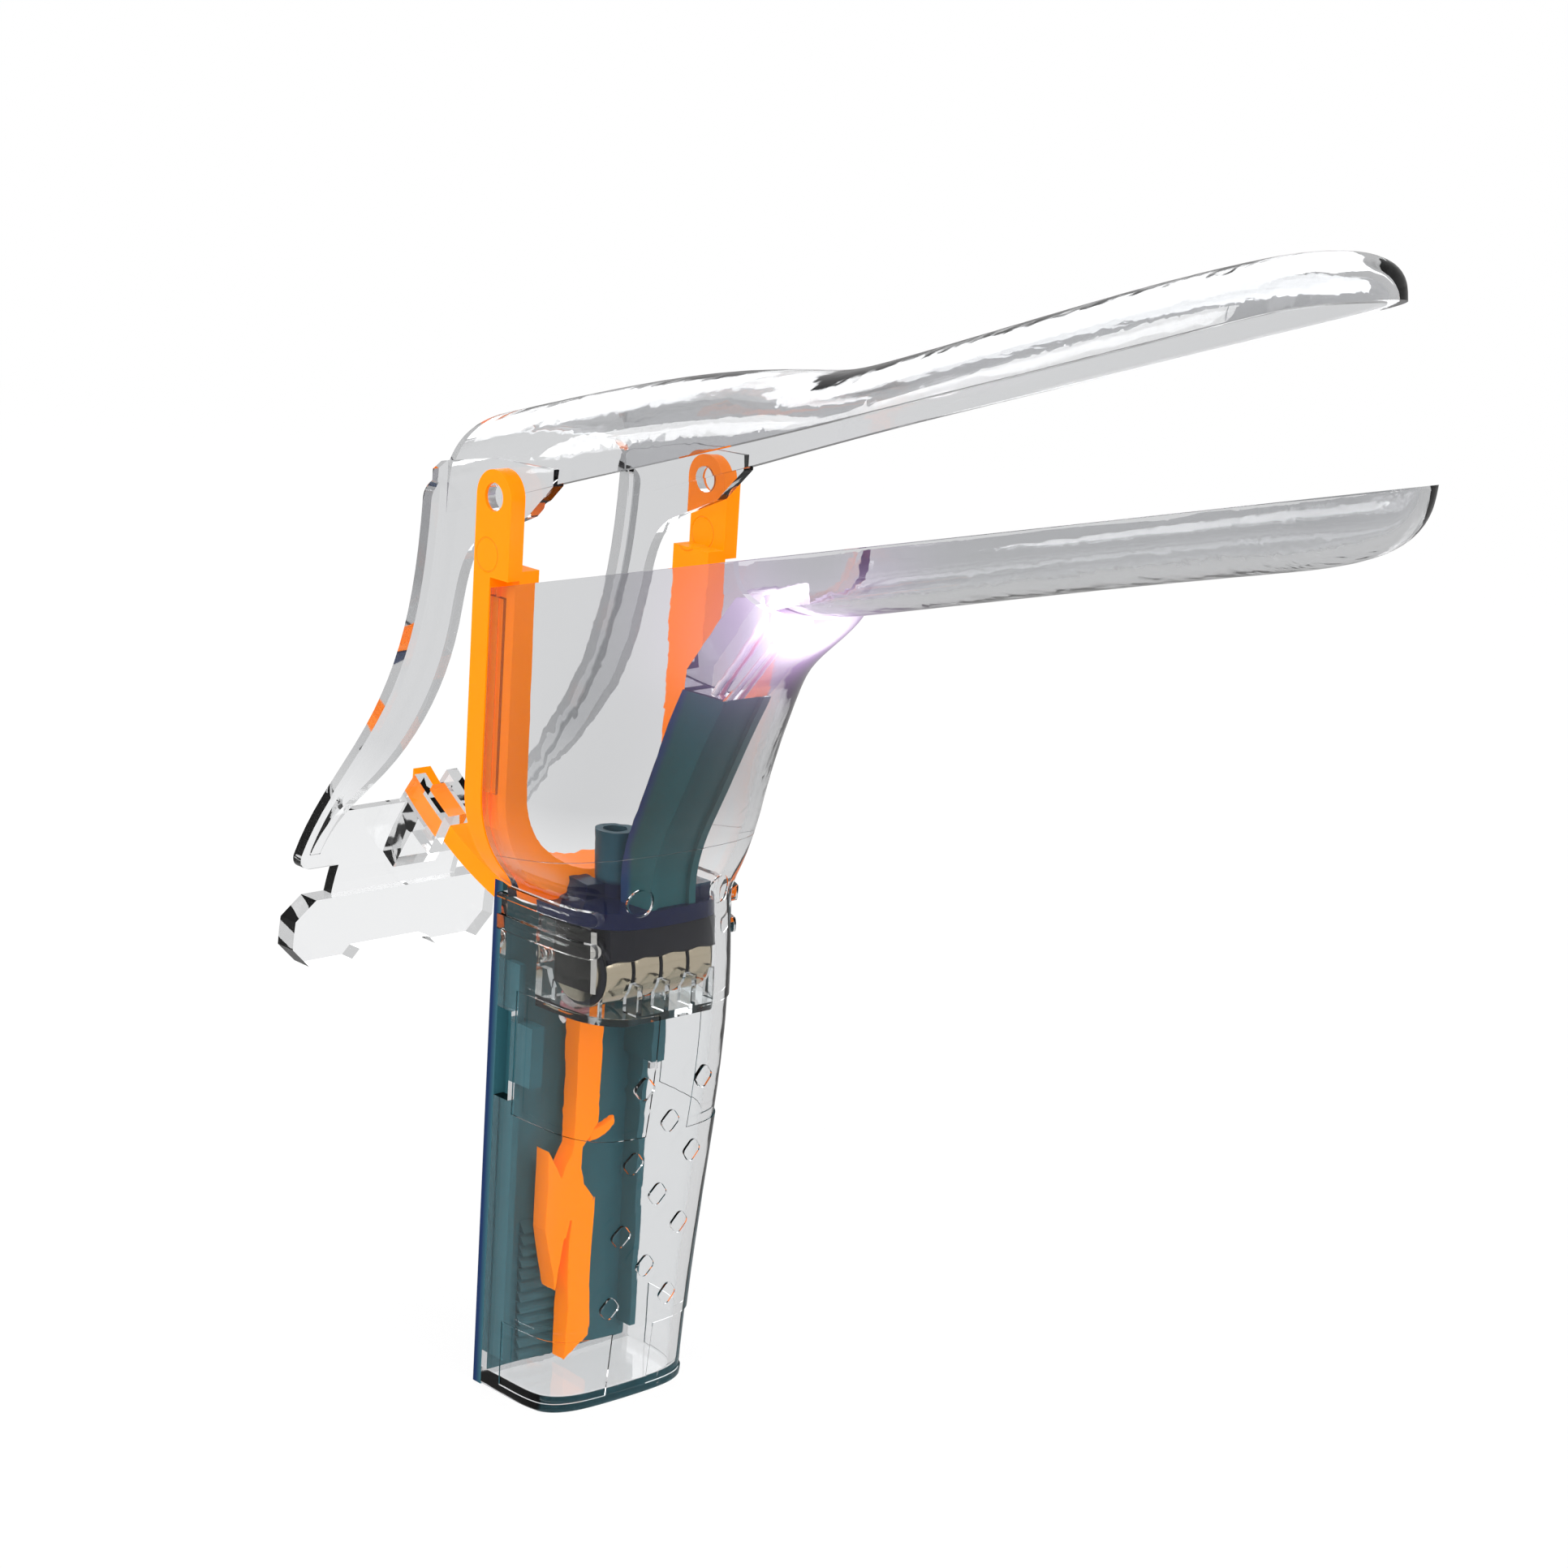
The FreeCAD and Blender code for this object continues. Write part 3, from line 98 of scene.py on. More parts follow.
def makeStudio():
    bpy.context.scene.view_settings.view_transform = "Standard"
    world = bpy.data.worlds.new("studioWorld")
    bpy.context.scene.world = world
    world.use_nodes = True
    tree = world.node_tree
    tree.nodes.clear()
    rays = tree.nodes.new("ShaderNodeLightPath")
    output = tree.nodes.new("ShaderNodeOutputWorld")
    white = tree.nodes.new("ShaderNodeBackground")
    white.inputs["Color"].default_value = (1, 1, 1, 1)
    place = tree.nodes.new("ShaderNodeTexCoord")
    split = tree.nodes.new("ShaderNodeSeparateXYZ")
    tree.links.new(place.outputs["Generated"], split.inputs[0])
    sky = tree.nodes.new("ShaderNodeMapRange")
    sky.interpolation_type = "SMOOTHSTEP"
    sky.inputs["To Min"].default_value = studio["glossSky"]["low"]
    sky.inputs["To Max"].default_value = studio["glossSky"]["high"]
    tree.links.new(split.outputs["Z"], sky.inputs["Value"])
    level = tree.nodes.new("ShaderNodeMix")
    level.inputs["A"].default_value = 1.0
    tree.links.new(glossed(tree, rays), level.inputs["Factor"])
    tree.links.new(sky.outputs["Result"], level.inputs["B"])
    tree.links.new(level.outputs["Result"], white.inputs["Strength"])
    fill = tree.nodes.new("ShaderNodeBackground")
    fill.inputs["Color"].default_value = (1, 1, 1, 1)
    fill.inputs["Strength"].default_value = studio["fill"]
    mix = tree.nodes.new("ShaderNodeMixShader")
    tree.links.new(directRays(tree, rays), mix.inputs["Fac"])
    tree.links.new(fill.outputs[0], mix.inputs[1])
    tree.links.new(white.outputs[0], mix.inputs[2])
    tree.links.new(mix.outputs[0], output.inputs["Surface"])

    for name, lamp in studio["lamps"].items():
        data = bpy.data.lights.new(name, "AREA")
        data.shape, data.size, data.energy = "SQUARE", lamp["size"], lamp["power"]
        light = bpy.data.objects.new(name, data)
        light.location = lamp["place"]
        aim = Vector(studio["aim"]) - light.location
        light.rotation_mode = "QUATERNION"
        light.rotation_quaternion = aim.to_track_quat("-Z", "Y")
        light.visible_glossy = lamp.get("shines", True)
        bpy.context.scene.collection.objects.link(light)

    half = studio["floorSize"] / 2
    mesh = bpy.data.meshes.new("studioFloor")
    corners = [(-half, -half, 0), (half, -half, 0), (half, half, 0), (-half, half, 0)]
    mesh.from_pydata(corners, [], [(0, 1, 2, 3)])
    floor = bpy.data.objects.new("studioFloor", mesh)
    floor.location.z = -studio["floorGap"]
    bpy.context.scene.collection.objects.link(floor)
    material = bpy.data.materials.new("floorWhite")
    material.use_nodes = True
    tree = material.node_tree
    tree.nodes.clear()
    rays = tree.nodes.new("ShaderNodeLightPath")
    paint = tree.nodes.new("ShaderNodeBsdfDiffuse")
    paint.inputs["Color"].default_value = (*studio["floorColour"], 1)
    glow = tree.nodes.new("ShaderNodeEmission")
    mix = tree.nodes.new("ShaderNodeMixShader")
    place = tree.nodes.new("ShaderNodeTexCoord")
    away = tree.nodes.new("ShaderNodeVectorMath")
    away.operation = "LENGTH"
    tree.links.new(place.outputs["Object"], away.inputs[0])
    spread = tree.nodes.new("ShaderNodeMapRange")
    spread.interpolation_type = "SMOOTHSTEP"
    for label, key in (("From Min", "from"), ("From Max", "to"), ("To Min", "near"), ("To Max", "far")):
        spread.inputs[label].default_value = studio["floorGlow"][key]
    tree.links.new(away.outputs["Value"], spread.inputs["Value"])
    share = tree.nodes.new("ShaderNodeMath")
    share.operation = "MULTIPLY"
    output = tree.nodes.new("ShaderNodeOutputMaterial")
    tree.links.new(directRays(tree, rays), share.inputs[0])
    level = tree.nodes.new("ShaderNodeMix")
    level.inputs["A"].default_value = 1.0
    level.inputs["B"].default_value = studio["glossFloor"]
    tree.links.new(glossed(tree, rays), level.inputs["Factor"])
    tree.links.new(level.outputs["Result"], glow.inputs["Strength"])
    tree.links.new(spread.outputs["Result"], share.inputs[1])
    tree.links.new(share.outputs[0], mix.inputs["Fac"])
    tree.links.new(paint.outputs[0], mix.inputs[1])
    tree.links.new(glow.outputs[0], mix.inputs[2])
    tree.links.new(mix.outputs[0], output.inputs["Surface"])
    mesh.materials.append(material)


def mathNode(tree, operation, first, second=None):
    node = tree.nodes.new("ShaderNodeMath")
    node.operation = operation
    for socket, value in zip(node.inputs, (first, second)):
        if value is None:
            continue
        if isinstance(value, (int, float)):
            socket.default_value = value
        else:
            tree.links.new(value, socket)
    return node.outputs[0]


def directRays(tree, rays):
    # 1 for a ray from the camera, off a gloss or through a clear wall
    last = rays.outputs["Is Camera Ray"]
    for label in ("Is Glossy Ray", "Is Transmission Ray"):
        either = tree.nodes.new("ShaderNodeMath")
        either.operation = "MAXIMUM"
        tree.links.new(last, either.inputs[0])
        tree.links.new(rays.outputs[label], either.inputs[1])
        last = either.outputs[0]
    return last


def glossed(tree, rays):
    # 1 for a ray that has met a gloss on its way, also where it went through a clear wall later
    count = tree.nodes.new("ShaderNodeMath")
    count.operation = "MINIMUM"
    count.inputs[1].default_value = 1.0
    tree.links.new(rays.outputs["Glossy Depth"], count.inputs[0])
    leftWall = mathNode(tree, "GREATER_THAN", rays.outputs["Transmission Depth"], 1.5)
    inner = mathNode(tree, "MULTIPLY", leftWall, studio["innerShare"])
    return mathNode(tree, "MULTIPLY", count.outputs[0], mathNode(tree, "SUBTRACT", 1.0, inner))


makeCamera()
makeStudio()
print("camera and studio ready")

# shader groups shared by the materials


def newGroup(name, inputs, outputs):
    group = bpy.data.node_groups.new(name, "ShaderNodeTree")
    for label, kind, value in inputs:
        socket = group.interface.new_socket(label, in_out="INPUT", socket_type=kind)
        socket.default_value = value
    for label, kind in outputs:
        group.interface.new_socket(label, in_out="OUTPUT", socket_type=kind)
    start = group.nodes.new("NodeGroupInput")
    end = group.nodes.new("NodeGroupOutput")
    return group, start, end


def makeMouldedSurface():
    # slow flow waves and a fine grain, as a moulded face has
    group, start, end = newGroup("mouldedSurface", [
        ("Wave Size", "NodeSocketFloat", 60.0), ("Wave", "NodeSocketFloat", 0.5),
        ("Grain Size", "NodeSocketFloat", 2500.0), ("Grain", "NodeSocketFloat", 0.1),
        ("Gloss", "NodeSocketFloat", 0.2), ("Gloss Change", "NodeSocketFloat", 0.08)],
        [("Height", "NodeSocketFloat"), ("Roughness", "NodeSocketFloat")])
    place = group.nodes.new("ShaderNodeTexCoord")
    wave = group.nodes.new("ShaderNodeTexNoise")
    wave.inputs["Detail"].default_value = 2
    grain = group.nodes.new("ShaderNodeTexNoise")
    grain.inputs["Detail"].default_value = 1
    group.links.new(place.outputs["Object"], wave.inputs["Vector"])
    group.links.new(place.outputs["Object"], grain.inputs["Vector"])
    group.links.new(start.outputs["Wave Size"], wave.inputs["Scale"])
    group.links.new(start.outputs["Grain Size"], grain.inputs["Scale"])
    slow = mathNode(group, "MULTIPLY", wave.outputs["Fac"], start.outputs["Wave"])
    fine = mathNode(group, "MULTIPLY", grain.outputs["Fac"], start.outputs["Grain"])
    group.links.new(mathNode(group, "ADD", slow, fine), end.inputs["Height"])
    change = mathNode(group, "MULTIPLY", mathNode(group, "SUBTRACT", wave.outputs["Fac"], 0.5),
                      start.outputs["Gloss Change"])
    group.links.new(mathNode(group, "ADD", start.outputs["Gloss"], change), end.inputs["Roughness"])
    return group


# painted glow: emission laid on the clear plastic round the lamp
paintedLampGlow = {
    "centre": (0.0435, 0, 0.1362), "core": 0.0046, "reach": 0.026,
    # how bright the painted glow's core and fringe are
    "channels": (("Red", 2.6, 0.15), ("Green", 2.4, 0.09), ("Blue", 2.5, 0.19)),
}


def makePaintedLampGlow():
    # painted glow round the lamp: how near a point is to the lamp gives a hot core and a wide violet
    # fringe of emission
    group, start, end = newGroup("paintedLampGlow", [
        ("Core", "NodeSocketFloat", paintedLampGlow["core"]), ("Reach", "NodeSocketFloat", paintedLampGlow["reach"])],
        [("Colour", "NodeSocketColor")])
    place = group.nodes.new("ShaderNodeTexCoord")
    away = group.nodes.new("ShaderNodeVectorMath")
    away.operation = "DISTANCE"
    away.inputs[1].default_value = paintedLampGlow["centre"]
    group.links.new(place.outputs["Object"], away.inputs[0])
    core = fallOff(group, away.outputs["Value"], start.outputs["Core"], -1.0)
    wide = fallOff(group, away.outputs["Value"], start.outputs["Reach"], -3.0)
    colour = group.nodes.new("ShaderNodeCombineColor")
    for channel, hot, fringe in paintedLampGlow["channels"]:
        share = mathNode(group, "ADD", mathNode(group, "MULTIPLY", core, hot),
                         mathNode(group, "MULTIPLY", wide, fringe))
        group.links.new(share, colour.inputs[channel])
    group.links.new(colour.outputs[0], end.inputs["Colour"])
    return group


def fallOff(group, away, reach, rate):
    share = mathNode(group, "POWER", mathNode(group, "DIVIDE", away, reach), 2.0)
    return mathNode(group, "EXPONENT", mathNode(group, "MULTIPLY", share, rate))


mouldedSurface = makeMouldedSurface()
paintedGlowGroup = makePaintedLampGlow()


def newMaterial(name, values, surface=None, bump=0.0):
    material = bpy.data.materials.new(name)
    material.use_nodes = True
    tree = material.node_tree
    shader = tree.nodes["Principled BSDF"]
    for key, value in values.items():
        shader.inputs[key].default_value = value
    if surface:
        group = placeGroup(tree, mouldedSurface, surface)
        tree.links.new(group.outputs["Roughness"], shader.inputs["Roughness"])
        relief = tree.nodes.new("ShaderNodeBump")
        relief.inputs["Strength"].default_value = bump
        relief.inputs["Distance"].default_value = 0.0006
        tree.links.new(group.outputs["Height"], relief.inputs["Height"])
        tree.links.new(relief.outputs["Normal"], shader.inputs["Normal"])
    return material, tree, shader


def placeGroup(tree, group, values):
    node = tree.nodes.new("ShaderNodeGroup")
    node.node_tree = group
    for key, value in values.items():
        node.inputs[key].default_value = value
    return node


clearFinish = {
    "face": (0.86, 0.865, 0.87),        # the handle's thin wall
    # painted shade: the neck and blades, from the height on, get a darker face colour than the handle
    "shadedUpperFace": (0.60, 0.605, 0.615),  # the neck and blades, from the height on
    "height": (0.088, 0.102),
    # painted highlight: the lighter colour that the clear body's edges turn to at grazing angles
    "edge": (0.88, 0.89, 0.90),
    "shadow": (0.88, 0.885, 0.89),
    "facets": {   # in the web behind the hinge, between two heights and within a distance of the middle
        "size": 190.0, "depth": 0.45, "relief": 0.0022,
        "from": -0.024, "to": -0.030, "low": 0.0985, "high": 0.114, "side": 0.012,
    },
    "surface": {
        "Wave Size": 55.0, "Wave": 0.8, "Grain Size": 900.0, "Grain": 0.02,
        "Gloss": 0.03, "Gloss Change": 0.05,
    },
}


def makeClearPlastic(name, face, upperShade, edge, glow, bump):
    material, tree, shader = newMaterial(name, {
        "Transmission Weight": 1.0, "IOR": 1.32, "Specular IOR Level": 0.12,
    }, clearFinish["surface"], bump)
    # painted edge tone: towards grazing angles the colour turns to the edge colour, a painted highlight
    # on the clear body's edges; on the guide the edges turn darker
    rim = tree.nodes.new("ShaderNodeLayerWeight")
    rim.inputs["Blend"].default_value = 0.35
    paintedEdgeTone = tree.nodes.new("ShaderNodeMix")
    paintedEdgeTone.data_type = "RGBA"
    paintedEdgeTone.inputs["B"].default_value = (*edge, 1)
    tree.links.new(rim.outputs["Facing"], paintedEdgeTone.inputs["Factor"])
    place = tree.nodes.new("ShaderNodeTexCoord")
    split = tree.nodes.new("ShaderNodeSeparateXYZ")
    tree.links.new(place.outputs["Object"], split.inputs[0])
    # painted shade: between the two heights the colour darkens from the handle's face to the shaded upper
    # face
    level = tree.nodes.new("ShaderNodeMapRange")
    level.inputs["From Min"].default_value, level.inputs["From Max"].default_value = clearFinish["height"]
    tree.links.new(split.outputs["Z"], level.inputs["Value"])
    wall = tree.nodes.new("ShaderNodeMix")
    wall.data_type = "RGBA"
    wall.inputs["A"].default_value = (*face, 1)
    wall.inputs["B"].default_value = (*upperShade, 1)
    tree.links.new(level.outputs["Result"], wall.inputs["Factor"])
    tree.links.new(wall.outputs["Result"], paintedEdgeTone.inputs["A"])
    tree.links.new(paintedEdgeTone.outputs["Result"], shader.inputs["Base Color"])
    cutFacets(tree, shader, place, split)
    # painted glow: the plastic near the lamp is given its own emission
    if glow:
        light = placeGroup(tree, paintedGlowGroup, {})
        tree.links.new(light.outputs["Colour"], shader.inputs["Emission Color"])
        shader.inputs["Emission Strength"].default_value = glow
    letThrough(tree, shader, clearFinish["shadow"])
    return material


def cutFacets(tree, shader, place, split):
    # flat cuts that sparkle in the thick web behind the hinge
    facets = clearFinish["facets"]
    cells = tree.nodes.new("ShaderNodeTexVoronoi")
    cells.inputs["Scale"].default_value = facets["size"]
    tree.links.new(place.outputs["Object"], cells.inputs["Vector"])
    back = tree.nodes.new("ShaderNodeMapRange")
    back.inputs["From Min"].default_value = facets["from"]
    back.inputs["From Max"].default_value = facets["to"]
    tree.links.new(split.outputs["X"], back.inputs["Value"])
    across = mathNode(tree, "ABSOLUTE", split.outputs["Y"])
    share = back.outputs["Result"]
    for test in (mathNode(tree, "GREATER_THAN", split.outputs["Z"], facets["low"]),
                 mathNode(tree, "LESS_THAN", split.outputs["Z"], facets["high"]),
                 mathNode(tree, "LESS_THAN", across, facets["side"])):
        share = mathNode(tree, "MULTIPLY", share, test)
    height = mathNode(tree, "MULTIPLY", cells.outputs["Distance"], share)
    relief = tree.nodes.new("ShaderNodeBump")
    relief.inputs["Strength"].default_value = facets["depth"]
    relief.inputs["Distance"].default_value = facets["relief"]
    grain = shader.inputs["Normal"].links[0].from_socket
    tree.links.new(height, relief.inputs["Height"])
    tree.links.new(grain, relief.inputs["Normal"])
    tree.links.new(relief.outputs["Normal"], shader.inputs["Normal"])


def letThrough(tree, shader, colour):
    # lets the lamps' light reach what stands behind a clear wall
    rays = tree.nodes.new("ShaderNodeLightPath")
    clear = tree.nodes.new("ShaderNodeBsdfTransparent")
    clear.inputs["Color"].default_value = (*colour, 1)
    mix = tree.nodes.new("ShaderNodeMixShader")
    output = next(node for node in tree.nodes if node.bl_idname == "ShaderNodeOutputMaterial")
    tree.links.new(rays.outputs["Is Shadow Ray"], mix.inputs["Fac"])
    tree.links.new(shader.outputs[0], mix.inputs[1])
    tree.links.new(clear.outputs[0], mix.inputs[2])
    tree.links.new(mix.outputs[0], output.inputs["Surface"])


moulded = {
    "Wave Size": 45.0, "Wave": 0.5, "Grain Size": 2600.0, "Grain": 0.12,
    "Gloss": 0.24, "Gloss Change": 0.12,
}
orangeFinish = {
    "deep": (1.0, 0.185, 0.0),
    "light": (1.0, 0.25, 0.0),
    "armRing": {"across": -0.0011, "up": 0.138, "radius": 0.0026, "line": 0.00016},
}


def makeOrange():
    material, tree, shader = newMaterial("orangePlastic", {
        "Subsurface Weight": 0.10, "Subsurface Radius": (0.004, 0.0012, 0.0003), "Subsurface Scale": 1.0,
        "IOR": 1.5, "Specular IOR Level": 0.12,
        # painted glow: an orange emission makes the plastic brighter than the lamps alone light it
        "Emission Color": (1.0, 0.23, 0.0, 1), "Emission Strength": 0.34}, moulded, 0.12)
    place = tree.nodes.new("ShaderNodeTexCoord")
    shade = tree.nodes.new("ShaderNodeTexNoise")
    shade.inputs["Scale"].default_value = 28
    tree.links.new(place.outputs["Object"], shade.inputs["Vector"])
    tone = tree.nodes.new("ShaderNodeMix")
    tone.data_type = "RGBA"
    tone.inputs["A"].default_value = (*orangeFinish["deep"], 1)
    tone.inputs["B"].default_value = (*orangeFinish["light"], 1)
    tree.links.new(shade.outputs["Fac"], tone.inputs["Factor"])
    tree.links.new(tone.outputs["Result"], shader.inputs["Base Color"])
    # the ejector's round mark on each arm
    mark = orangeFinish["armRing"]
    split = tree.nodes.new("ShaderNodeSeparateXYZ")
    tree.links.new(place.outputs["Object"], split.inputs[0])
    across = mathNode(tree, "SUBTRACT", split.outputs["X"], mark["across"])
    up = mathNode(tree, "SUBTRACT", split.outputs["Z"], mark["up"])
    away = mathNode(tree, "SQRT", mathNode(tree, "ADD", mathNode(tree, "MULTIPLY", across, across),
                                           mathNode(tree, "MULTIPLY", up, up)))
    ring = mathNode(tree, "ABSOLUTE", mathNode(tree, "SUBTRACT", away, mark["radius"]))
    groove = tree.nodes.new("ShaderNodeMapRange")
    groove.inputs["From Max"].default_value = mark["line"]
    tree.links.new(ring, groove.inputs["Value"])
    dent = tree.nodes.new("ShaderNodeBump")
    dent.inputs["Strength"].default_value = 0.8
    dent.inputs["Distance"].default_value = 0.0002
    grain = shader.inputs["Normal"].links[0].from_socket
    tree.links.new(groove.outputs["Result"], dent.inputs["Height"])
    tree.links.new(grain, dent.inputs["Normal"])
    tree.links.new(dent.outputs["Normal"], shader.inputs["Normal"])
    return material


def makeDark(name, near, far, start, length, gloss=0.24, axis="X", slant=None):
    # one colour passes into the other along an axis, from start over length
    # slant is the height that the line leans from, and by how much
    material, tree, shader = newMaterial(name, {
        "IOR": 1.5, "Specular IOR Level": 0.16}, {**moulded, "Gloss": gloss}, 0.12)
    place = tree.nodes.new("ShaderNodeTexCoord")
    split = tree.nodes.new("ShaderNodeSeparateXYZ")
    tree.links.new(place.outputs["Object"], split.inputs[0])
    along = split.outputs[axis]
    if slant:
        height = mathNode(tree, "MAXIMUM", mathNode(tree, "SUBTRACT", split.outputs["Z"], slant[0]), 0.0)
        along = mathNode(tree, "SUBTRACT", along, mathNode(tree, "MULTIPLY", height, slant[1]))
    share = mathNode(tree, "DIVIDE", mathNode(tree, "SUBTRACT", along, start), length)
    tone = tree.nodes.new("ShaderNodeMix")
    tone.data_type = "RGBA"
    tone.inputs["A"].default_value = (*near, 1)
    tone.inputs["B"].default_value = (*far, 1)
    tree.links.new(share, tone.inputs["Factor"])
    tree.links.new(tone.outputs["Result"], shader.inputs["Base Color"])
    return material


def makeMetal(name, colour, gloss, grain):
    surface = {
        "Wave Size": 300.0, "Wave": 0.4, "Grain Size": 4000.0, "Grain": grain,
        "Gloss": gloss, "Gloss Change": 0.2,
    }
    return newMaterial(name, {"Base Color": (*colour, 1), "Metallic": 1.0}, surface, 0.2)[0]


def makeLampLens():
    return newMaterial("lampLens", {
        "Base Color": (1, 0.97, 0.98, 1), "Emission Color": (1.0, 0.93, 0.95, 1),
        "Emission Strength": 8.0}, {"Gloss": 0.15}, 0.05)[0]


def makeLead(name, colour):
    return newMaterial(name, {"Base Color": (*colour, 1)}, {**moulded, "Gloss": 0.4}, 0.1)[0]


navy = (0.006, 0.024, 0.095)
teal = (0.034, 0.120, 0.145)
guideFace = (0.90, 0.92, 0.92)
finishes = {
    "clear_plastic": makeClearPlastic("clearPlastic", clearFinish["face"], clearFinish["shadedUpperFace"],
                                      clearFinish["edge"], 1.0, 0.10),
    "guide_plastic": makeClearPlastic("guidePlastic", guideFace, guideFace, (0.55, 0.58, 0.58),
                                      1.0, 0.25),
    "orange_plastic": makeOrange(),
    "navy_plastic": makeDark("navyPlastic", navy, teal, -0.0042, 0.0014),
    "black_plastic": makeDark("blackPlastic", (0.004, 0.004, 0.007), (0.008, 0.008, 0.012),
                              0.0, 0.02, 0.35),
    "cell_steel": makeMetal("cellSteel", (0.66, 0.57, 0.42), 0.13, 0.1),
    "contact_metal": makeMetal("contactMetal", (0.72, 0.70, 0.66), 0.18, 0.1),
    "lamp_lens": makeLampLens(),
    "near_lead": makeLead("whiteLead", (0.86, 0.82, 0.80)),
    "far_lead": makeLead("pinkLead", (0.75, 0.22, 0.25)),
}
nodeFinishes = {
    "lamp_duct": makeDark("ductPlastic", (0.016, 0.050, 0.14), (0.016, 0.085, 0.096), 0.0134, 0.0012,
                          slant=(0.0934, 0.41)),
    "lamp_deck": makeDark("deckPlastic", (0.003, 0.006, 0.034), (0.024, 0.085, 0.118), 0.0862, 0.0010,
                          axis="Z"),
}


def dressNodes():
    slots = {row["node"]: row["material_slot"] for row in frame["record"]["subparts"]}
    for name, node in nodes.items():
        material = nodeFinishes.get(name) or finishes[slots[name]]
        node.data.materials.clear()
        node.data.materials.append(material)


dressNodes()
print("materials ready")

# soft edges on the opaque mouldings and the cells

edgeRound = {
    "yoke": 0.00045, "rear_cover": 0.0004, "lamp_deck": 0.0003, "lamp_duct": 0.0003, "cell_cover": 0.0003,
    "button_cell_1": 0.0004, "button_cell_2": 0.0004, "button_cell_3": 0.0004, "button_cell_4": 0.0004,
}


def roundEdges():
    for name, width in edgeRound.items():
        soft = nodes[name].modifiers.new("softEdges", "BEVEL")
        soft.width = width
        soft.segments = 2
        soft.limit_method = "ANGLE"
        soft.angle_limit = radians(38)
        soft.harden_normals = True


roundEdges()
print("edges rounded")

# mesh helpers


def newPiece(name, mesh, material, body):
    piece = bpy.data.objects.new(name, mesh)
    mesh.materials.append(material)
    bpy.context.scene.collection.objects.link(piece)
    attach(piece, body)
    return piece


def joinRings(form, first, second, closed=True):
    count = len(first)
    for step in range(count if closed else count - 1):
        after = (step + 1) % count
        form.faces.new((first[step], first[after], second[after], second[step]))


def sweepInto(form, points, radius, sides=8, closed=False):
    # a round section carried along the points, each ring square to the way
    spots = [Vector(point) for point in points]
    count = len(spots)
    lean = Vector((0.31, 0.17, 0.93))
    rings = []
    for index, spot in enumerate(spots):
        before = spots[index - 1] if closed or index else spot
        after = spots[(index + 1) % count] if closed or index < count - 1 else spot
        ahead = (after - before).normalized()
        lean = (lean - ahead * lean.dot(ahead)).normalized()
        other = ahead.cross(lean)
        width = radius(index / (count - 1)) if callable(radius) else radius
        rings.append([form.verts.new(spot + width * (cos(2 * pi * step / sides) * lean
                                                     + sin(2 * pi * step / sides) * other))
                      for step in range(sides)])
    runs = list(zip(rings, rings[1:])) + ([(rings[-1], rings[0])] if closed else [])
    for first, second in runs:
        joinRings(form, first, second)
    if not closed:
        form.faces.new(list(reversed(rings[0])))
        form.faces.new(rings[-1])


def latheInto(form, profile, centre, sides=40):
    # profile pairs are (along Y, radius) round an axis along Y through centre; the profile closes
    rings = []
    for along, radius in profile:
        rings.append([form.verts.new((centre[0] + radius * cos(2 * pi * step / sides), centre[1] + along,
                                      centre[2] + radius * sin(2 * pi * step / sides)))
                      for step in range(sides)])
    for first, second in zip(rings, rings[1:] + rings[:1]):
        joinRings(form, first, second)


def meshFrom(name, form, angle=35):
    bmesh.ops.recalc_face_normals(form, faces=form.faces)
    mesh = bpy.data.meshes.new(name)
    form.to_mesh(mesh)
    form.free()
    for face in mesh.polygons:
        face.use_smooth = True
    mesh.set_sharp_from_angle(angle=radians(angle))
    return mesh


def smoothWay(points, steps):
    # even steps along a curve that passes near the points
    spots = [Vector(point) for point in points]
    spots = [2 * spots[0] - spots[1]] + spots + [2 * spots[-1] - spots[-2]]
    way = []
    for first, second, third, fourth in zip(spots, spots[1:], spots[2:], spots[3:]):
        for step in range(steps):
            t = step / steps
            way.append(((1 - t) ** 3 * first + (3 * t ** 3 - 6 * t ** 2 + 4) * second
                        + (-3 * t ** 3 + 3 * t ** 2 + 3 * t + 1) * third + t ** 3 * fourth) / 6)
    return way + [spots[-2]]


# the twisted pair that hangs beside the cells

tailPair = {
    "way": ((0.0035, -0.0064, 0.0828), (0.0035, -0.0064, 0.0760), (0.0037, -0.0068, 0.0682),
            (0.0037, -0.0070, 0.0626)),
    "turns": 7, "strand": 0.00040, "apart": 0.00038, "steps": 22,
    "strands": {"tailWhite": ("near_lead", 0.0), "tailPink": ("far_lead", pi)},
}


def makeTailPair():
    way = smoothWay(tailPair["way"], tailPair["steps"])
    for name, (slot, start) in tailPair["strands"].items():
        form = bmesh.new()
        points = []
        for index, spot in enumerate(way):
            angle = start + 2 * pi * tailPair["turns"] * index / (len(way) - 1)
            points.append(spot + tailPair["apart"] * Vector((cos(angle), sin(angle), 0)))
        sweepInto(form, points, tailPair["strand"], 10)
        piece = newPiece(name, meshFrom(name, form), finishes[slot], "handle")
        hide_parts("tail_lead")


makeTailPair()
print("twisted pair made")

# the seal and the crimped rim of each cell

cellSeal = {
    "seal": ((0.00045, 0.0046), (0.00045, 0.0052), (0.00062, 0.00552), (0.00096, 0.00562),
             (0.00096, 0.0046)),
    "rim": ((0.00086, 0.00556), (0.00080, 0.00572), (0.00092, 0.00586), (0.00128, 0.00588),
            (0.00128, 0.00556)),
}


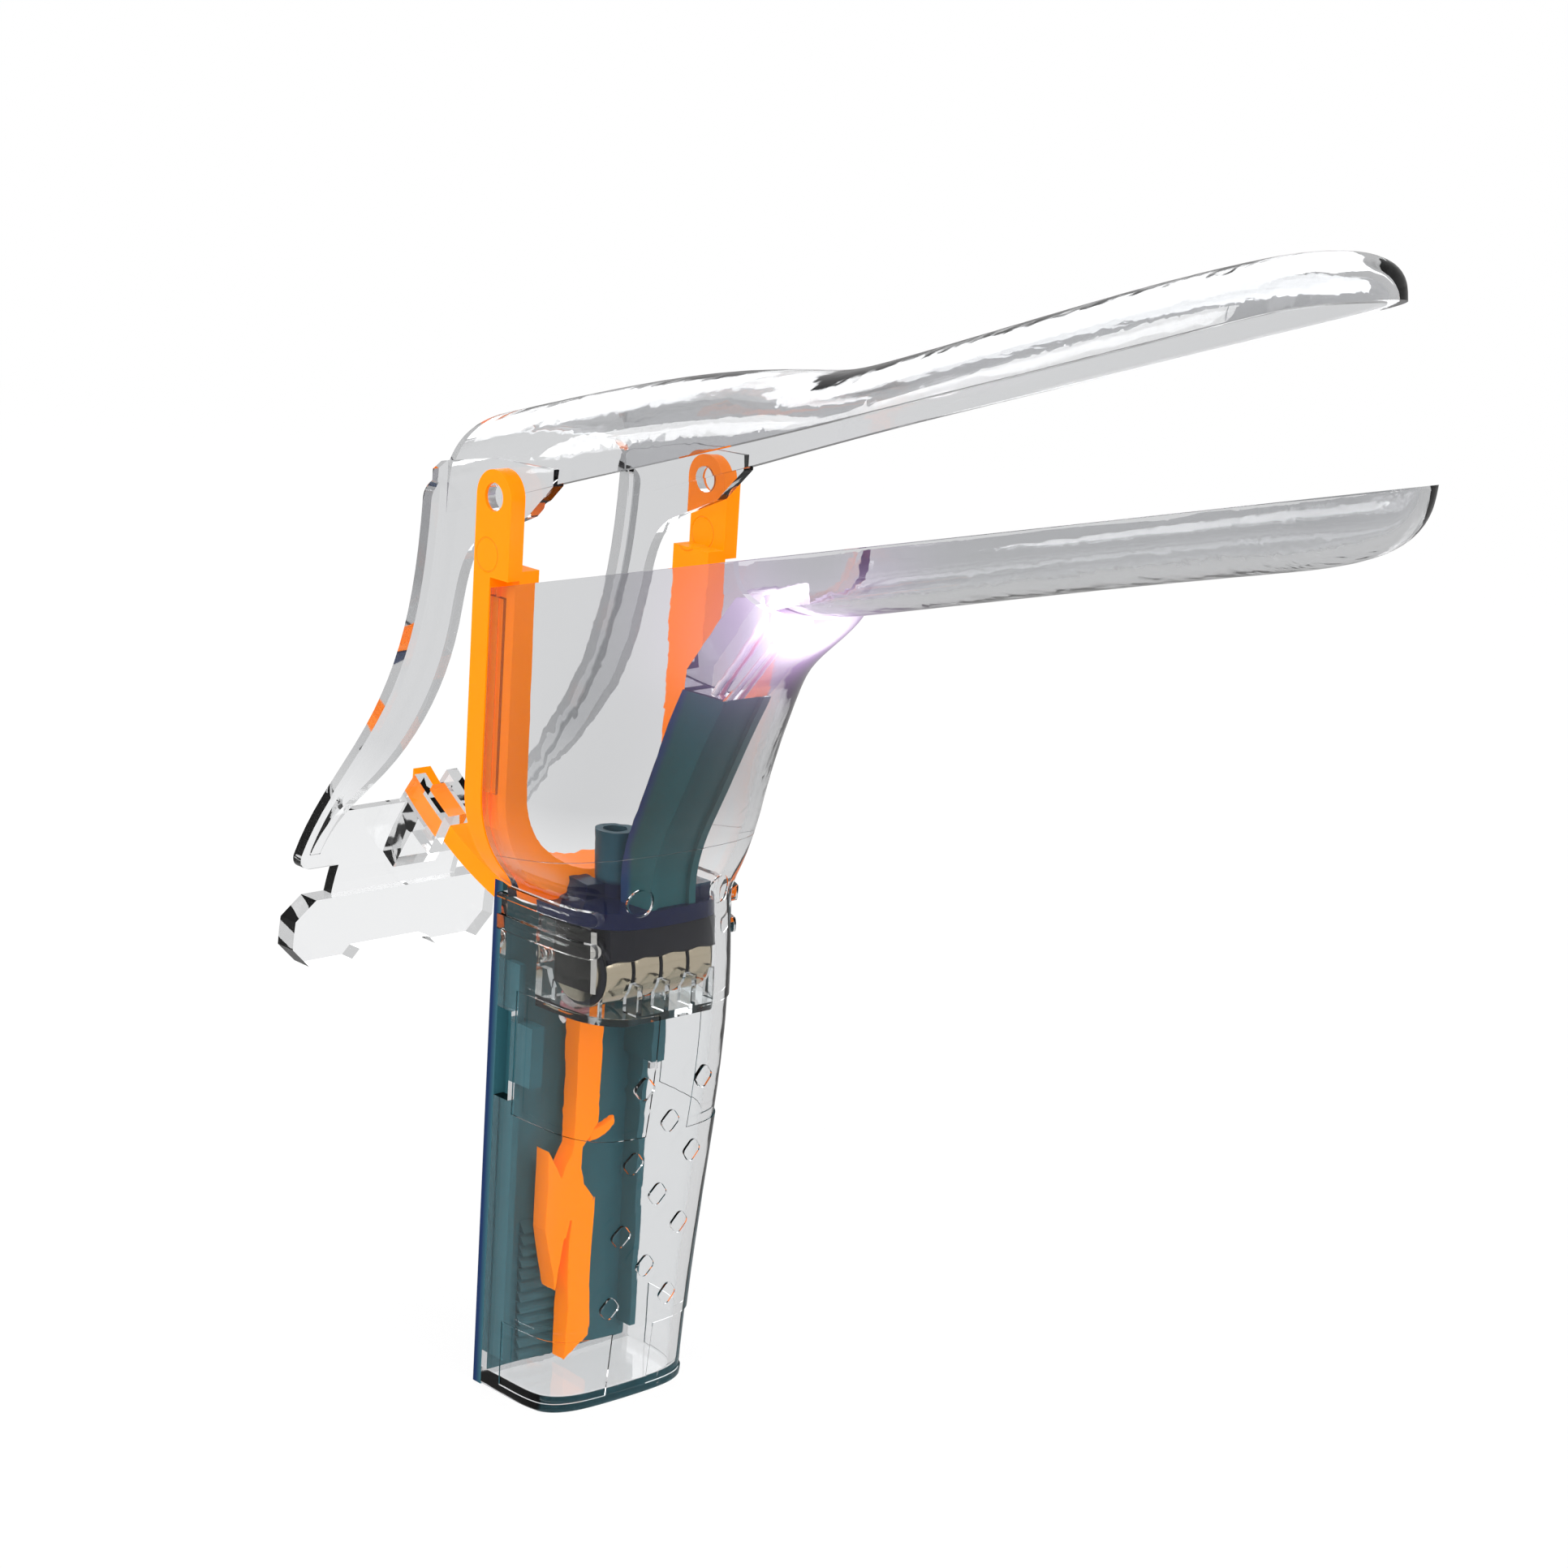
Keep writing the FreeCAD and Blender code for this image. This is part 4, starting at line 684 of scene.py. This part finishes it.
def makeCellTrim():
    for part, slot in (("seal", "black_plastic"), ("rim", "cell_steel")):
        form = bmesh.new()
        for index in range(1, 5):
            low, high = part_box(f"button_cell_{index}")
            centre = ((low[0] + high[0]) / 2, low[1], (low[2] + high[2]) / 2)
            latheInto(form, cellSeal[part], centre)
        name = "cell" + part.capitalize() + "s"
        newPiece(name, meshFrom(name, form), finishes[slot], "handle")


makeCellTrim()
print("cell trim made")

# the clip's skirt, which hangs over the top of the cells, a little lower between each two

clipSkirt = {
    "drop": 0.0034, "finger": 0.0003, "thick": 0.0007, "gap": 0.0005,
    "start": -0.0112, "end": 0.0106, "steps": 44, "rear": 0.1,
}


def makeClipSkirt():
    low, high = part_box("button_cell_1")
    radius = (high[2] - low[2]) / 2
    middle = Vector(((low[0] + high[0]) / 2, 0, (low[2] + high[2]) / 2))
    reach = radius + clipSkirt["gap"]
    top = pi / 2 - clipSkirt["rear"]
    form = bmesh.new()
    rings = []
    for index in range(clipSkirt["steps"] + 1):
        y = clipSkirt["start"] + (clipSkirt["end"] - clipSkirt["start"]) * index / clipSkirt["steps"]
        wave = 0.5 + 0.5 * cos(2 * pi * (y - low[1]) / (high[1] - low[1]))
        foot = (radius - clipSkirt["drop"] - clipSkirt["finger"] * wave) / radius
        ring = []
        for share in (0, 0.25, 0.5, 0.75, 1):
            angle = top + (foot - top) * share
            ring.append(middle + Vector((reach * cos(angle), y, reach * sin(angle))))
        rings.append([form.verts.new(spot) for spot in ring])
    for first, second in zip(rings, rings[1:]):
        joinRings(form, first, second, closed=False)
    mesh = meshFrom("clipSkirt", form)
    piece = newPiece("clipSkirt", mesh, finishes["black_plastic"], "handle")
    thick = piece.modifiers.new("thickness", "SOLIDIFY")
    thick.thickness = clipSkirt["thick"]
    thick.offset = 0


makeClipSkirt()
print("clip skirt made")

# the small tab on the yoke's stem

stemTab = {
    "stations": (   # centre and half sizes along X and Z
        ((0.0004, 0.0012, 0.0409), (0.0009, 0.0011)), ((0.0008, 0.0026, 0.0411), (0.0009, 0.0010)),
        ((0.0012, 0.0040, 0.0417), (0.0008, 0.0009)), ((0.0016, 0.0052, 0.0428), (0.0007, 0.0007)),
        ((0.0018, 0.0057, 0.0435), (0.0004, 0.0004))),
    "round": 0.0003,
}


def makeStemTab():
    form = bmesh.new()
    rings = []
    for (x, y, z), (deep, high) in stemTab["stations"]:
        rings.append([form.verts.new((x + side * deep, y, z + up * high))
                      for side, up in ((-1, -1), (1, -1), (1, 1), (-1, 1))])
    for first, second in zip(rings, rings[1:]):
        joinRings(form, first, second)
    form.faces.new(list(reversed(rings[0])))
    form.faces.new(rings[-1])
    mesh = meshFrom("stemTab", form, 60)
    piece = newPiece("stemTab", mesh, finishes["orange_plastic"], "yoke")
    soft = piece.modifiers.new("softEdges", "BEVEL")
    soft.width = stemTab["round"]
    soft.segments = 3


makeStemTab()
print("stem tab made")

# the mould's parting line round the neck of the clear body

partingLine = {
    "point": (0.0065, -0.017, 0.0917), "normal": (-0.16, 0.0, 1.0), "radius": 0.00007, "step": 0.0012,
}


def makePartingLine():
    form = bmesh.new()
    form.from_mesh(nodes["clear_body"].data)
    spot = Vector(partingLine["point"])
    normal = Vector(partingLine["normal"]).normalized()
    cut = bmesh.ops.bisect_plane(form, geom=form.verts[:] + form.edges[:] + form.faces[:], plane_co=spot,
                                 plane_no=normal, dist=1e-7)["geom_cut"]
    edges = [item for item in cut if isinstance(item, bmesh.types.BMEdge)]
    runs = edgeRuns(edges)
    form.free()
    if not runs:
        return
    line = bmesh.new()
    longest = max(runs, key=lambda run: sum((b - a).length for a, b in zip(run, run[1:])))
    sweepInto(line, evenSpots(longest, partingLine["step"]), partingLine["radius"], 6)
    mesh = meshFrom("partingLine", line)
    newPiece("partingLine", mesh, finishes["clear_plastic"], "handle")


def edgeRuns(edges):
    # chains of points through edges that meet end to end
    left = set(edges)
    runs = []
    while left:
        edge = min(left, key=lambda item: tuple(item.verts[0].co))
        left.discard(edge)
        run = [edge.verts[0], edge.verts[1]]
        for end in (True, False):
            while True:
                tip = run[-1] if end else run[0]
                ahead = next((item for item in tip.link_edges if item in left), None)
                if ahead is None:
                    break
                left.discard(ahead)
                other = ahead.other_vert(tip)
                run.append(other) if end else run.insert(0, other)
        runs.append([vert.co.copy() for vert in run])
    return runs


def evenSpots(run, step):
    spots = [run[0]]
    for spot in run[1:]:
        if (spot - spots[-1]).length >= step:
            spots.append(spot)
    return spots


makePartingLine()
print("parting line made")
